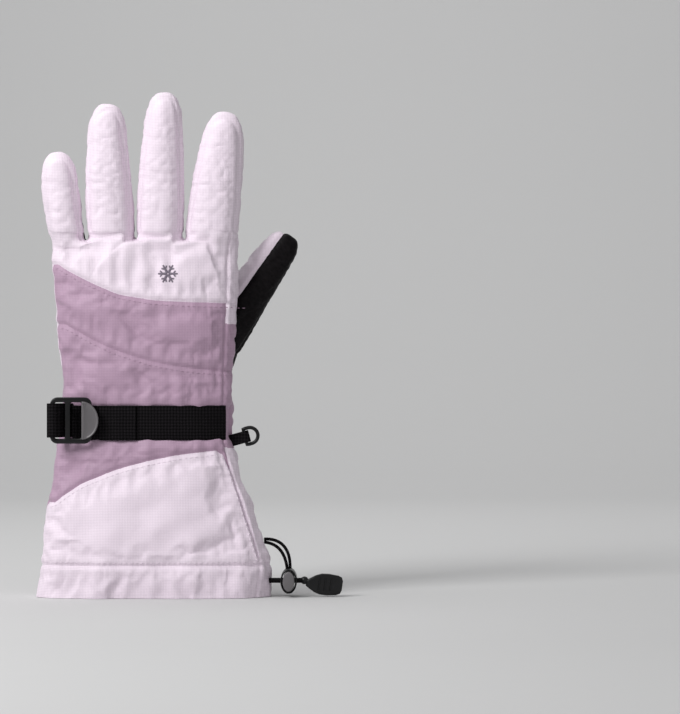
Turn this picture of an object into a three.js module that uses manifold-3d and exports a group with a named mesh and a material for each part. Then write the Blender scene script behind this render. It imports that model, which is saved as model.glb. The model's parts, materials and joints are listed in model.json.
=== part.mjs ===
// A left-hand ski glove, standing on its cuff. Millimetres, +Z along the fingers, +X to the thumb side,
// the back of the hand towards -Y and the palm towards +Y.
import * as THREE from 'three';
import { mergeVertices } from 'three/addons/utils/BufferGeometryUtils.js';
import Module from 'manifold-3d';

const wasm = await Module();
wasm.setup();

// ---- Driving dimensions ----
const GAP = 0.3;                 // clear space between pieces that touch
const SHELL = 1.0;               // shell fabric with its backing
const SECTION_POWER = 2.5;       // squareness of the hand's cross section
const FINGER_POWER = 2.25;       // squareness of a finger's cross section
const KNUCKLE_Y = 7;             // depth of the finger hinges, towards the palm
const KNUCKLE_GAP = 0.4;         // half of the gap at the finger bases
const FOLD_SLOPE = 0.78;         // clearance on the palm side, so that a finger can fold
const STRAP_WIDTH = 20;
const WEBBING = 1.3;
const STRAP_Z = 101;             // middle of the wrist strap
const HEM_TOP = 19;
const HEM_CORD_Z = 9.5;
const CORD_Y = -5;
const WRIST_Z = 60;              // where the cuff facing meets the lining
const LITTLE_KNUCKLE_Z = 200;
const LITTLE_ROOM_X = -34.9;     // thumb-side edge of the little finger's place
const KNUCKLE_Z = 209;

// Layers, as depths under the outer surface.
const SHELL_LAYER = [0, SHELL];
const FACING_LAYER = [1.5, 2.3];
const ELASTIC_LAYER = [1.3, 2.1];
const HAND_INSULATION = [3.0, 5.2];
const HAND_LINING = [5.6, 6.4];
const FINGER_INSULATION = [1.4, 3.2];
const FINGER_LINING = [3.6, 4.3];

const COLOUR = { lilac: 0xe2d4e4, mauve: 0xac8faa, black: 0x302e30, webbing: 0x181618, batting: 0xe8e6e2,
  lining: 0x5a565c, plastic: 0x2c2b2c, lever: 0x625e5e, steel: 0xb4b6b8, thread: 0x4c4450 };

const DEPTH_WAY = new THREE.Vector3(0, 1, 0);

// ---- Small helpers ----
const radians = (degrees) => degrees * Math.PI / 180;
const signedPower = (value, power) => Math.sign(value) * Math.abs(value) ** power;
const mix = (a, b, t) => a + (b - a) * t;
const clamp01 = (t) => Math.min(1, Math.max(0, t));

// Straight-line reading of a table of [position, value] pairs.
function read(table, at) {
  if (at <= table[0][0]) return table[0][1];
  for (let i = 1; i < table.length; i += 1) {
    if (at <= table[i][0]) {
      const [x0, y0] = table[i - 1];
      const [x1, y1] = table[i];
      return mix(y0, y1, (at - x0) / (x1 - x0));
    }
  }
  return table[table.length - 1][1];
}

function material(colour, roughness, metalness = 0) {
  return new THREE.MeshStandardMaterial({ color: colour, roughness, metalness });
}

const LOOK = {
  lilac: material(COLOUR.lilac, 0.75), mauve: material(COLOUR.mauve, 0.75),
  palm: material(COLOUR.black, 0.6), webbing: material(COLOUR.webbing, 0.8),
  batting: material(COLOUR.batting, 0.95), lining: material(COLOUR.lining, 0.95),
  plastic: material(COLOUR.plastic, 0.45), lever: material(COLOUR.lever, 0.5),
  steel: material(COLOUR.steel, 0.3, 1), thread: material(COLOUR.thread, 0.7),
};

// ---- Closed bodies from rows of points ----
function bodyFromTriangles(points, triangles) {
  let volume = 0;
  for (const [a, b, c] of triangles) volume += points[a].clone().cross(points[b]).dot(points[c]);
  const geometry = new THREE.BufferGeometry();
  const index = triangles.flatMap(([a, b, c]) => (volume > 0 ? [a, b, c] : [a, c, b]));
  geometry.setAttribute('position', new THREE.Float32BufferAttribute(points.flatMap((p) => p.toArray()), 3));
  geometry.setIndex(index);
  return geometry;
}

// A wall between an outer and an inner sheet of points. Each sheet is a list of rows; a row goes round.
// closed: each row is a full loop. capped: the last row shrinks to one point at the tip.
function wall(outerRows, innerRows, { closed = false, capped = false } = {}) {
  const points = [];
  const put = (rows) => rows.map((row) => row.map((p) => points.push(p) - 1));
  const outer = put(outerRows);
  const inner = put(innerRows);
  const triangles = [];
  const quad = (a, b, c, d) => triangles.push([a, b, c], [a, c, d]);
  const last = outer.length - 1;
  const count = outer[0].length;
  const steps = closed ? count : count - 1;
  for (let j = 0; j < last; j += 1) {
    for (let i = 0; i < steps; i += 1) {
      const k = (i + 1) % count;
      quad(outer[j][i], outer[j][k], outer[j + 1][k], outer[j + 1][i]);
      quad(inner[j][k], inner[j][i], inner[j + 1][i], inner[j + 1][k]);
    }
  }
  for (let i = 0; i < steps; i += 1) {
    const k = (i + 1) % count;
    quad(inner[0][i], inner[0][k], outer[0][k], outer[0][i]);
    if (!capped) quad(outer[last][i], outer[last][k], inner[last][k], inner[last][i]);
  }
  if (capped) {
    const tips = [[outer, outerRows], [inner, innerRows]].map(([ids, rows]) => {
      const middle = rows[last].reduce((sum, p) => sum.add(p), new THREE.Vector3());
      return [ids, points.push(middle.divideScalar(count)) - 1];
    });
    for (let i = 0; i < steps; i += 1) {
      const k = (i + 1) % count;
      triangles.push([tips[0][0][last][i], tips[0][0][last][k], tips[0][1]]);
      triangles.push([tips[1][0][last][k], tips[1][0][last][i], tips[1][1]]);
    }
  }
  if (!closed) {
    for (let j = 0; j < last; j += 1) {
      quad(outer[j][0], outer[j + 1][0], inner[j + 1][0], inner[j][0]);
      quad(outer[j + 1][count - 1], outer[j][count - 1], inner[j][count - 1], inner[j + 1][count - 1]);
    }
  }
  return bodyFromTriangles(points, triangles);
}

// A solid from one stack of closed rows, with flat ends.
function stack(rows) {
  const points = rows.flat();
  const count = rows[0].length;
  const triangles = [];
  for (let j = 0; j + 1 < rows.length; j += 1) {
    for (let i = 0; i < count; i += 1) {
      const k = (i + 1) % count;
      triangles.push([j * count + i, j * count + k, (j + 1) * count + k]);
      triangles.push([j * count + i, (j + 1) * count + k, (j + 1) * count + i]);
    }
  }
  const top = (rows.length - 1) * count;
  for (let i = 1; i + 1 < count; i += 1) {
    triangles.push([0, i + 1, i]);
    triangles.push([top, top + i, top + i + 1]);
  }
  return bodyFromTriangles(points, triangles);
}

// ---- Joining and cutting ----
function toSolid(geometry) {
  const bare = geometry.clone();
  bare.deleteAttribute('normal');
  bare.deleteAttribute('uv');
  const merged = mergeVertices(bare, 1e-4);
  return new wasm.Manifold(new wasm.Mesh({
    numProp: 3,
    vertProperties: new Float32Array(merged.attributes.position.array),
    triVerts: new Uint32Array(merged.index.array),
  }));
}

function fromSolid(solid) {
  const { vertProperties, triVerts } = solid.getMesh();
  const geometry = new THREE.BufferGeometry();
  geometry.setAttribute('position', new THREE.BufferAttribute(vertProperties, 3));
  geometry.setIndex(new THREE.BufferAttribute(triVerts, 1));
  return geometry;
}

// Keeps the largest of the bodies that a cut leaves.
function largest(solid) {
  const parts = solid.decompose();
  return parts.reduce((best, part) => (part.volume() > best.volume() ? part : best));
}

// A box with its centre, size and turn about Y.
function block(size, centre, turnY = 0) {
  const geometry = new THREE.BoxGeometry(...size);
  geometry.rotateY(turnY);
  geometry.translate(...centre);
  return geometry;
}

// A flat outline in X and Z, given a thickness along Y.
function plate(shape, yFront, yBack, curveSegments = 6) {
  const geometry = new THREE.ExtrudeGeometry(shape, { depth: yBack - yFront, bevelEnabled: false, curveSegments });
  geometry.rotateX(Math.PI / 2);
  geometry.translate(0, yBack, 0);
  return geometry;
}

const glove = new THREE.Group();
function add(name, geometry, look) {
  const mesh = new THREE.Mesh(geometry, look);
  mesh.name = name;
  glove.add(mesh);
  return mesh;
}

// ---- The hand and cuff surface ----
const LEFT_EDGE = [[0, -65.5], [17, -62.5], [49, -58.4], [66, -55.5], [86, -52.1], [104, -49], [117, -47.5],
  [140, -51.3], [157, -53], [174, -54], [193, -55.5], [210, -56]];
const RIGHT_EDGE = [[0, 70.5], [17, 73.8], [37, 66.7], [49, 63.2], [66, 57], [86, 50.8], [104, 49.2],
  [117, 49.5], [140, 50.7], [157, 51.7], [174, 52.9], [210, 53]];
const HALF_DEPTH = [[0, 23], [20, 23.5], [50, 21], [86, 17.5], [104, 16.5], [140, 17.5], [170, 17], [195, 14.2],
  [210, 12.8]];

function handPoint(angle, z, depth) {
  const left = read(LEFT_EDGE, z);
  const right = read(RIGHT_EDGE, z);
  const power = 2 / SECTION_POWER;
  const x = (left + right) / 2 + ((right - left) / 2 - depth) * signedPower(Math.cos(radians(angle)), power);
  const y = (read(HALF_DEPTH, z) - depth) * signedPower(Math.sin(radians(angle)), power);
  return new THREE.Vector3(x, y, z);
}

// Angles round the hand: 0 is the thumb side, 90 the palm, 180 the little-finger side, 270 the back.
const PALM_START = 19;
const PALM_END = 146;
const BACK_START = 185;
const BACK_END = 331;
const FULL_TURN = 360;

// Seams, as heights over X.
const BACK_TOP_SEAM = [[-55.2, 195.8], [-45.8, 189.1], [-34.7, 183], [-18, 175.2], [-5.8, 172.4], [9.9, 170.8],
  [48.8, 169.7]];
const BACK_MID_SEAM = [[-52.4, 161.9], [-34.7, 151.3], [-23.5, 145.2], [-5.8, 138.5], [9.9, 134.7], [26.5, 132.4],
  [47.1, 130.8]];
const BACK_CUFF_SEAM = [[-58.4, 48.3], [-38.3, 65.5], [-16.9, 74.4], [2.1, 79.2], [21.1, 82.7], [50.8, 85.7]];
const PALM_CUFF_SEAM = [[-58.4, 42], [-55.4, 46.5], [-35.2, 63.2], [-5.6, 78.6], [13.4, 85.1], [51.4, 86.3]];
const PALM_SEAM = [[-47.7, 131.4], [12.8, 145.6], [53, 150]];
const INDEX_STRIP_Z = 157;

// The open top of the hand, cut back on the palm side so that the fingers can fold.
function handTop(angle, depth) {
  const p = handPoint(angle, KNUCKLE_Z, depth);
  return KNUCKLE_Z - KNUCKLE_GAP - FOLD_SLOPE * Math.max(0, p.y - KNUCKLE_Y);
}

// The little finger starts lower than the others, so this wedge is taken out of the hand's top.
function littleFingerRoom() {
  const low = LITTLE_KNUCKLE_Z - KNUCKLE_GAP;
  const shape = new THREE.Shape();
  shape.moveTo(-40, low);
  shape.lineTo(KNUCKLE_Y, low);
  shape.lineTo(40, low - FOLD_SLOPE * (40 - KNUCKLE_Y));
  shape.lineTo(40, 230);
  shape.lineTo(-40, 230);
  shape.closePath();
  const geometry = new THREE.ExtrudeGeometry(shape, { depth: 60, bevelEnabled: false });
  // The outline's own axes become Y and Z, and its thickness runs along X.
  geometry.applyMatrix4(new THREE.Matrix4().makeBasis(DEPTH_WAY, new THREE.Vector3(0, 0, 1),
    new THREE.Vector3(1, 0, 0)));
  geometry.translate(LITTLE_ROOM_X - 60, 0, 0);
  return toSolid(geometry);
}

const onSeam = (seam, referenceZ, offset = 0) => (angle, depth) =>
  read(seam, handPoint(angle, referenceZ, depth).x) + offset;
const level = (z) => () => z;

// A panel of the hand between two angles and two heights. Heights are functions of the angle.
function handPanel([from, to], low, high, [outside, inside], across = 10, up = 6) {
  const closed = to - from >= FULL_TURN;
  const count = closed ? across : across + 1;
  const rows = (depth) => Array.from({ length: up + 1 }, (_, j) => Array.from({ length: count }, (__, i) => {
    const angle = mix(from, to, i / across);
    return handPoint(angle, mix(low(angle, depth), high(angle, depth), j / up), depth);
  }));
  return wall(rows(outside), rows(inside), { closed });
}

// The hand as one solid, to cut the thumb against.
function handCore(depth) {
  const heights = [0, 20, 50, 86, 104, 140, 170, 195, 206];
  return stack(heights.map((z) => Array.from({ length: 28 }, (_, i) =>
    handPoint(FULL_TURN * i / 28, z, depth))));
}

// ---- Thumb ----
const THUMB_AXIS = new THREE.Vector3(0.58, 0, 0.815).normalize();
const THUMB_SIDE = new THREE.Vector3(THUMB_AXIS.z, 0, -THUMB_AXIS.x);
const THUMB_ROOT = new THREE.Vector3(38.3, 0, 148.2);
const THUMB_LENGTH = 78;
const THUMB_DOME = 62;
const THUMB_HALF_WIDTH = [[0, 15.7], [33, 13.2], [62, 10.6]];
const THUMB_HALF_DEPTH = [[0, 12.5], [33, 12], [62, 9.8]];
const THUMB_Y = [[0, 28], [33, 24.5], [62, 20], [78, 18.5]];
const THUMB_HINGE_RISE = 5;      // the thumb hinge lies this far in front of the thumb's middle
const THUMB_FOLD_SLOPE = 1.25;
const GUSSET_CENTRE = new THREE.Vector3(27, 9, 128);
const GUSSET_REACH = [18, 17];

const thumbMiddle = (s) => THUMB_ROOT.clone().addScaledVector(THUMB_AXIS, s).setY(read(THUMB_Y, s));

// Shrinks a tube's section towards its rounded tip.
function dome(at, start, end) {
  if (at <= start) return 1;
  return (1 - clamp01((at - start) / (end - start)) ** 2.3) ** (1 / 2.3);
}

function thumbPoint(angle, s, depth) {
  const round = dome(s, THUMB_DOME, THUMB_LENGTH - depth);
  const power = 2 / FINGER_POWER;
  const side = (read(THUMB_HALF_WIDTH, s) - depth) * round * signedPower(Math.cos(radians(angle)), power);
  const front = (read(THUMB_HALF_DEPTH, s) - depth) * round * signedPower(Math.sin(radians(angle)), power);
  return thumbMiddle(s).addScaledVector(THUMB_SIDE, side).addScaledVector(DEPTH_WAY, front);
}

function thumbTube([outside, inside], around = 14) {
  const rows = (depth) => [0, 0.28, 0.55, 0.78, 0.88, 0.95, 0.985].map((v) =>
    Array.from({ length: around }, (_, i) => {
      const angle = FULL_TURN * i / around;
      const front = thumbPoint(angle, 0, depth).y - read(THUMB_Y, 0) - THUMB_HINGE_RISE;
      const base = KNUCKLE_GAP + Math.max(0, front) * THUMB_FOLD_SLOPE;
      return thumbPoint(angle, mix(base, THUMB_LENGTH - depth, v), depth);
    }));
  return wall(rows(outside), rows(inside), { closed: true, capped: true });
}

// The gusset turns from an oval in the palm to the thumb's root.
function gussetPoint(angle, t, depth) {
  const c = Math.cos(radians(angle));
  const s = Math.sin(radians(angle));
  const palm = GUSSET_CENTRE.clone().addScaledVector(THUMB_SIDE, (GUSSET_REACH[0] - depth) * c)
    .addScaledVector(THUMB_AXIS, -(GUSSET_REACH[1] - depth) * s);
  const root = thumbPoint(angle, 0, depth).addScaledVector(THUMB_AXIS, -KNUCKLE_GAP);
  const swell = 4 * t * (1 - t) * Math.max(0, s);
  return palm.lerp(root, t).addScaledVector(DEPTH_WAY, 7 * swell).addScaledVector(THUMB_AXIS, -4 * swell);
}

function gusset([outside, inside], around = 16) {
  const rows = (depth) => Array.from({ length: 6 }, (_, j) => Array.from({ length: around }, (__, i) =>
    gussetPoint(FULL_TURN * i / around, j / 5, depth)));
  return wall(rows(outside), rows(inside), { closed: true });
}

// The thumb's way through the palm, as a prism along Y.
function thumbHole(shrink) {
  const outline = Array.from({ length: 14 }, (_, i) => {
    const angle = 2 * Math.PI * i / 14;
    return GUSSET_CENTRE.clone().addScaledVector(THUMB_SIDE, (GUSSET_REACH[0] - shrink) * Math.cos(angle))
      .addScaledVector(THUMB_AXIS, (GUSSET_REACH[1] - shrink) * Math.sin(angle));
  });
  const row = (y) => outline.map((p) => p.clone().setY(y));
  return toSolid(stack([row(2), row(40)]));
}

function buildThumb() {
  const core = toSolid(handCore(-GAP - 0.2));
  const plane = (away, distance, yMin, yMax) => {
    const size = [100, yMax - yMin, 260];
    const middle = thumbMiddle(30).addScaledVector(THUMB_SIDE, distance + away * 50);
    const turn = Math.atan2(THUMB_AXIS.x, THUMB_AXIS.z);
    return toSolid(block(size, [middle.x, (yMin + yMax) / 2, middle.z], turn));
  };
  const skin = toSolid(thumbTube(SHELL_LAYER)).subtract(core);
  const seam = -3.5;
  const splitY = 23;
  add('thumb_side_strip', fromSolid(largest(skin.intersect(plane(-1, seam - GAP, -20, 80)))), LOOK.lilac);
  add('thumb_back_panel', fromSolid(largest(skin.intersect(plane(1, seam, -20, splitY)))), LOOK.palm);
  add('thumb_palm_panel', fromSolid(largest(skin.intersect(plane(1, seam, splitY + GAP, 80)))), LOOK.palm);
  const batting = toSolid(thumbTube(FINGER_INSULATION, 10)).subtract(core);
  add('thumb_insulation', fromSolid(largest(batting)), LOOK.batting);
  add('thumb_lining', fromSolid(largest(toSolid(thumbTube(FINGER_LINING, 10)).subtract(core))), LOOK.lining);
  add('thumb_gusset', fromSolid(largest(toSolid(gusset(SHELL_LAYER)).subtract(core))), LOOK.palm);
}

// ---- Hand and cuff ----
function buildHand() {
  const back = [BACK_START, BACK_END - GAP];
  const through = (geometry, shrink) => fromSolid(largest(toSolid(geometry).subtract(thumbHole(shrink))));
  const littleRoom = littleFingerRoom();
  const topped = (geometry) => fromSolid(largest(toSolid(geometry).subtract(littleRoom)));
  add('back_panel', topped(handPanel(back, onSeam(BACK_TOP_SEAM, 180, GAP), handTop, SHELL_LAYER, 10, 4)), LOOK.lilac);
  add('back_mid_panel', handPanel(back, onSeam(BACK_MID_SEAM, 145, GAP), onSeam(BACK_TOP_SEAM, 180),
    SHELL_LAYER, 10, 3), LOOK.mauve);
  add('back_wrist_panel', handPanel(back, onSeam(BACK_CUFF_SEAM, 70, GAP), onSeam(BACK_MID_SEAM, 145),
    SHELL_LAYER, 10, 6), LOOK.mauve);
  add('back_cuff_panel', handPanel(back, level(HEM_TOP + GAP), onSeam(BACK_CUFF_SEAM, 70), SHELL_LAYER, 10, 4),
    LOOK.lilac);
  const palmSide = [BACK_END - FULL_TURN, BACK_START - GAP];
  add('palm_cuff_panel', handPanel(palmSide, level(HEM_TOP + GAP), onSeam(PALM_CUFF_SEAM, 65), SHELL_LAYER, 22, 4),
    LOOK.lilac);
  const wristTop = (extra) => (angle, depth) => extra + (angle < PALM_START ? INDEX_STRIP_Z
    : read(PALM_SEAM, handPoint(angle, 140, depth).x));
  add('palm_wrist_panel', through(handPanel(palmSide, onSeam(PALM_CUFF_SEAM, 65, GAP), wristTop(-GAP), SHELL_LAYER,
    22, 6), 3), LOOK.mauve);
  // The panels above it stop at its top edge.
  const wristRoom = toSolid(handPanel([-60, 220], level(100), wristTop(0), [-2, 3], 22, 1));
  const above = (geometry) => fromSolid(largest(toSolid(topped(geometry)).subtract(wristRoom)));
  add('index_side_strip', above(handPanel([BACK_END - FULL_TURN, PALM_START - GAP], level(INDEX_STRIP_Z + 1), handTop,
    SHELL_LAYER, 4, 4)), LOOK.lilac);
  add('palm_panel', above(through(handPanel([PALM_START + 1, PALM_END - 0.5], onSeam(PALM_SEAM, 140, -4), handTop,
    SHELL_LAYER, 12, 5), 3)), LOOK.palm);
  add('little_side_strip', above(handPanel([PALM_END, BACK_START - GAP], onSeam(PALM_SEAM, 140, -4), handTop,
    SHELL_LAYER, 4, 4)), LOOK.lilac);
  const round = [0, FULL_TURN];
  add('hand_insulation', topped(through(handPanel(round, level(WRIST_Z + 1), handTop, HAND_INSULATION, 24, 6), 4.5)),
    LOOK.batting);
  add('hand_lining', topped(through(handPanel(round, level(WRIST_Z + 1), handTop, HAND_LINING, 24, 6), 6)),
    LOOK.lining);
}

function buildCuff() {
  const round = [0, FULL_TURN];
  const cordHole = new THREE.CylinderGeometry(2.3, 2.3, 12, 12);
  cordHole.rotateZ(Math.PI / 2);
  cordHole.translate(70, CORD_Y, HEM_CORD_Z);
  const hem = toSolid(handPanel(round, level(0), level(HEM_TOP), SHELL_LAYER, 24, 2)).subtract(toSolid(cordHole));
  add('hem_channel', fromSolid(largest(hem)), LOOK.lilac);
  add('cuff_facing', handPanel(round, level(0.4), level(WRIST_Z), FACING_LAYER, 24, 3), LOOK.lilac);
  for (const [name, z] of [['upper_wrist_elastic', 104.7], ['lower_wrist_elastic', 94]]) {
    add(name, handPanel([8, 172], level(z - 3), level(z + 3), ELASTIC_LAYER, 14, 1), LOOK.webbing);
  }
}

// ---- Fingers ----
// Each: knuckle height, tip height, start of the rounded tip, and tables of middle, half width, half depth.
const FINGERS = {
  little: { knuckle: LITTLE_KNUCKLE_Z, tip: 257.5, dome: 243, window: [-4.5, 246, 7],
    middle: [[200, -45.4], [233, -50], [257, -52.2]], width: [[200, 10.1], [233, 10.8], [246, 10.2]],
    depth: [[200, 12.2], [246, 10.6]] },
  ring: { knuckle: KNUCKLE_Z, tip: 285.5, dome: 268, window: [-4, 274, 8],
    middle: [[209, -20.7], [233, -22.1], [266, -23.2], [285, -22.8]], width: [[209, 13.7], [233, 13.8], [268, 11.4]],
    depth: [[209, 12.8], [268, 11]] },
  middle: { knuckle: KNUCKLE_Z, tip: 292.5, dome: 275, window: [-4, 281, 8],
    middle: [[209, 7.4], [244, 8.2], [278, 9.6], [292, 10.6]], width: [[209, 13.6], [244, 13.6], [275, 11]],
    depth: [[209, 12.8], [275, 11]] },
  index: { knuckle: KNUCKLE_Z, tip: 281, dome: 262, window: [-4, 268, 8],
    middle: [[209, 37.3], [244, 41.2], [266, 44.2], [281, 45.6]], width: [[209, 15.5], [244, 14.6], [264, 12.4]],
    depth: [[209, 12.8], [264, 11]] },
};
const WINDOW_INSET = 4.2;        // lilac border beside the black finger front
const BACK_SEAM_Y = -5.5;        // seam between a finger's back and its side bands

function fingerPoint(finger, angle, z, depth) {
  const round = dome(z, finger.dome, finger.tip - depth);
  const power = 2 / FINGER_POWER;
  const x = (read(finger.width, z) - depth) * round * signedPower(Math.cos(radians(angle)), power);
  const y = (read(finger.depth, z) - depth) * round * signedPower(Math.sin(radians(angle)), power);
  return new THREE.Vector3(read(finger.middle, z) + x, y, z);
}

function fingerTube(finger, [outside, inside], around) {
  const rows = (depth) => [0, 0.3, 0.58, 0.76, 0.87, 0.95, 0.985].map((v) =>
    Array.from({ length: around }, (_, i) => {
      const angle = FULL_TURN * i / around;
      const front = fingerPoint(finger, angle, finger.knuckle, depth).y - KNUCKLE_Y;
      const base = finger.knuckle + KNUCKLE_GAP + FOLD_SLOPE * Math.max(0, front);
      return fingerPoint(finger, angle, mix(base, finger.tip - depth, v), depth);
    }));
  return wall(rows(outside), rows(inside), { closed: true, capped: true });
}

// The outline of the black front of a finger, grown by a little, as a prism towards the palm.
function frontPrism(finger, grow) {
  const [, top, roundness] = finger.window;
  const inset = WINDOW_INSET - grow;
  const side = (z, way) => read(finger.middle, z) + way * (read(finger.width, z) - inset);
  const low = finger.knuckle - 10;
  const shoulder = top - roundness;
  const shape = new THREE.Shape();
  shape.moveTo(side(low, -1), low);
  shape.lineTo(side(low, 1), low);
  shape.lineTo(side(shoulder, 1), shoulder);
  shape.quadraticCurveTo(side(shoulder, 1), top + grow, read(finger.middle, top), top + grow);
  shape.quadraticCurveTo(side(shoulder, -1), top + grow, side(shoulder, -1), shoulder);
  shape.closePath();
  return toSolid(plate(shape, 1.5 - grow, 30, 4));
}

function buildFinger(name, finger) {
  const skin = toSolid(fingerTube(finger, SHELL_LAYER, 16));
  const rest = skin.subtract(frontPrism(finger, GAP));
  const half = (yMin, yMax) => toSolid(block([80, yMax - yMin, 160],
    [read(finger.middle, finger.knuckle), (yMin + yMax) / 2, finger.knuckle + 50]));
  add(`${name}_palm`, fromSolid(largest(skin.intersect(frontPrism(finger, 0)))), LOOK.palm);
  add(`${name}_back`, fromSolid(largest(rest.intersect(half(-40, BACK_SEAM_Y)))), LOOK.lilac);
  add(`${name}_fourchette`, fromSolid(largest(rest.intersect(half(BACK_SEAM_Y + GAP, 40)))), LOOK.lilac);
  add(`${name}_insulation`, fingerTube(finger, FINGER_INSULATION, 10), LOOK.batting);
  add(`${name}_lining`, fingerTube(finger, FINGER_LINING, 10), LOOK.lining);
}

// ---- Wrist strap and buckle ----
const BUCKLE = { left: -54.5, right: -26.5, height: 26.7, front: -20.6, thick: 2.6, bar: 2.6 };
const BAR_ROOM = 0.7;            // clearance round the buckle's bar, so that it can turn in its loop

function strapLayer(from, to, depth) {
  const angleOf = (x) => {
    const left = read(LEFT_EDGE, STRAP_Z);
    const right = read(RIGHT_EDGE, STRAP_Z);
    const share = (x - (left + right) / 2) / ((right - left) / 2 + 1.5);
    const c = signedPower(Math.max(-1, Math.min(1, share)), SECTION_POWER / 2);
    return FULL_TURN - Math.acos(c) * 180 / Math.PI;
  };
  const low = level(STRAP_Z - STRAP_WIDTH / 2);
  const high = level(STRAP_Z + STRAP_WIDTH / 2);
  return handPanel([angleOf(from), angleOf(to)], low, high, [-depth - WEBBING, -depth], 10, 1);
}

function roundedRect(x0, z0, x1, z1, r) {
  const shape = new THREE.Shape();
  shape.moveTo(x0 + r, z0);
  shape.lineTo(x1 - r, z0);
  shape.quadraticCurveTo(x1, z0, x1, z0 + r);
  shape.lineTo(x1, z1 - r);
  shape.quadraticCurveTo(x1, z1, x1 - r, z1);
  shape.lineTo(x0 + r, z1);
  shape.quadraticCurveTo(x0, z1, x0, z1 - r);
  shape.lineTo(x0, z0 + r);
  shape.quadraticCurveTo(x0, z0, x0 + r, z0);
  return shape;
}

function buildStrap() {
  add('wrist_strap', strapLayer(-33, 47, 0.5), LOOK.webbing);
  add('strap_tail', strapLayer(-24.5, -4, 0.5 + WEBBING + 0.4), LOOK.webbing);
  const { left, right, height, front, thick, bar } = BUCKLE;
  const low = STRAP_Z - height / 2 + 1.5;
  const high = low + height;
  const outline = roundedRect(left, low, right - 4, high, 3.5);
  outline.holes.push(roundedRect(left + bar, low + 2.9, left + 8.6, high - 2.9, 0.8));
  outline.holes.push(roundedRect(left + 11.6, low + 2.9, left + 18, high - 2.9, 0.8));
  add('buckle_frame', plate(outline, front, front + thick, 3), LOOK.plastic);
  const lever = new THREE.Shape();
  const leverX = -36.2;
  lever.moveTo(leverX, low + 2.4);
  lever.quadraticCurveTo(right + 0.5, low + 3.5, right, (low + high) / 2);
  lever.quadraticCurveTo(right + 0.5, high - 3.5, leverX, high - 2.4);
  lever.closePath();
  add('buckle_lever', plate(lever, front - 2.4, front - GAP, 6), LOOK.lever);
  // The anchor is a loop of webbing round the frame's left bar, sewn to the side of the wrist.
  const anchorLow = STRAP_Z - STRAP_WIDTH / 2 + 1.5;
  const outside = BAR_ROOM + WEBBING - 0.1;
  const loop = new THREE.Shape();
  loop.moveTo(left - outside, front - outside);
  loop.lineTo(left + bar + outside, front - outside);
  loop.lineTo(left + bar + outside, front + thick + outside);
  loop.lineTo(left + 6, front + thick + 3.6);
  loop.lineTo(left + 4.6, front + thick + 6);
  loop.lineTo(left - outside, front + thick + outside);
  loop.closePath();
  const hole = new THREE.Path();
  hole.moveTo(left - BAR_ROOM, front - BAR_ROOM);
  hole.lineTo(left - BAR_ROOM, front + thick + BAR_ROOM);
  hole.lineTo(left + bar + BAR_ROOM, front + thick + BAR_ROOM);
  hole.lineTo(left + bar + BAR_ROOM, front - BAR_ROOM);
  hole.closePath();
  loop.holes.push(hole);
  const anchor = new THREE.ExtrudeGeometry(loop, { depth: STRAP_WIDTH - 0.4, bevelEnabled: false });
  anchor.translate(0, 0, anchorLow + 0.2);
  add('buckle_anchor', fromSolid(largest(toSolid(anchor).subtract(toSolid(handCore(-GAP))))), LOOK.webbing);
}

// ---- Loop ring at the thumb side ----
const TAB = { x: 51.2, z: 91, length: 6.6, height: 7, turn: 15, wire: 2, legs: 2.7 };

function buildRing() {
  const place = (geometry) => {
    geometry.rotateY(-radians(TAB.turn));
    geometry.translate(TAB.x, 0, TAB.z);
    return geometry;
  };
  const loop = new THREE.Shape();
  loop.moveTo(0, -2.8);
  loop.lineTo(TAB.length, -2.8);
  loop.quadraticCurveTo(TAB.length + 3.6, 0, TAB.length, 2.8);
  loop.lineTo(0, 2.8);
  loop.closePath();
  const hole = new THREE.Path();
  hole.absarc(TAB.length - 0.6, 0, 1.7, 0, 2 * Math.PI, true);
  loop.holes.push(hole);
  const tab = new THREE.ExtrudeGeometry(loop, { depth: TAB.height, bevelEnabled: false, curveSegments: 6 });
  tab.translate(0, 0, -TAB.height / 2);
  place(tab);
  const core = toSolid(handCore(-GAP));
  add('ring_tab', fromSolid(largest(toSolid(tab).subtract(core))), LOOK.webbing);
  const inner = TAB.height / 2 + 0.35;
  const outer = inner + TAB.wire;
  const barX = TAB.length - 0.6;
  const ring = new THREE.Shape();
  ring.moveTo(barX - TAB.wire / 2, -outer);
  ring.lineTo(barX + TAB.legs, -outer);
  ring.absarc(barX + TAB.legs, 0, outer, -Math.PI / 2, Math.PI / 2, false);
  ring.lineTo(barX - TAB.wire / 2, outer);
  ring.closePath();
  const eye = new THREE.Path();
  eye.moveTo(barX + TAB.wire / 2, -inner);
  eye.lineTo(barX + TAB.wire / 2, inner);
  eye.lineTo(barX + TAB.legs, inner);
  eye.absarc(barX + TAB.legs, 0, inner, Math.PI / 2, -Math.PI / 2, true);
  eye.closePath();
  ring.holes.push(eye);
  add('loop_ring', place(plate(ring, -TAB.wire / 2, TAB.wire / 2, 8)), LOOK.plastic);
}

// ---- Drawcord and cord lock ----
const LOCK = { x: 82.5, z: 9.2, front: -14, back: 7, halfWidth: 4.8, halfHeight: 7.2, wall: 1.1 };
const CORD_WIDTH = 3;
const CORD_START_X = 71.1;
const CORD_END_X = 91.6;

function oval(halfWidth, halfHeight, clockwise = false) {
  const path = new THREE.Path();
  path.absellipse(LOCK.x, LOCK.z, halfWidth, halfHeight, 0, 2 * Math.PI, clockwise, 0);
  return path;
}

function ovalPlate(halfWidth, halfHeight, yFront, yBack) {
  return plate(new THREE.Shape(oval(halfWidth, halfHeight).getPoints(9)), yFront, yBack, 9);
}

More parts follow.
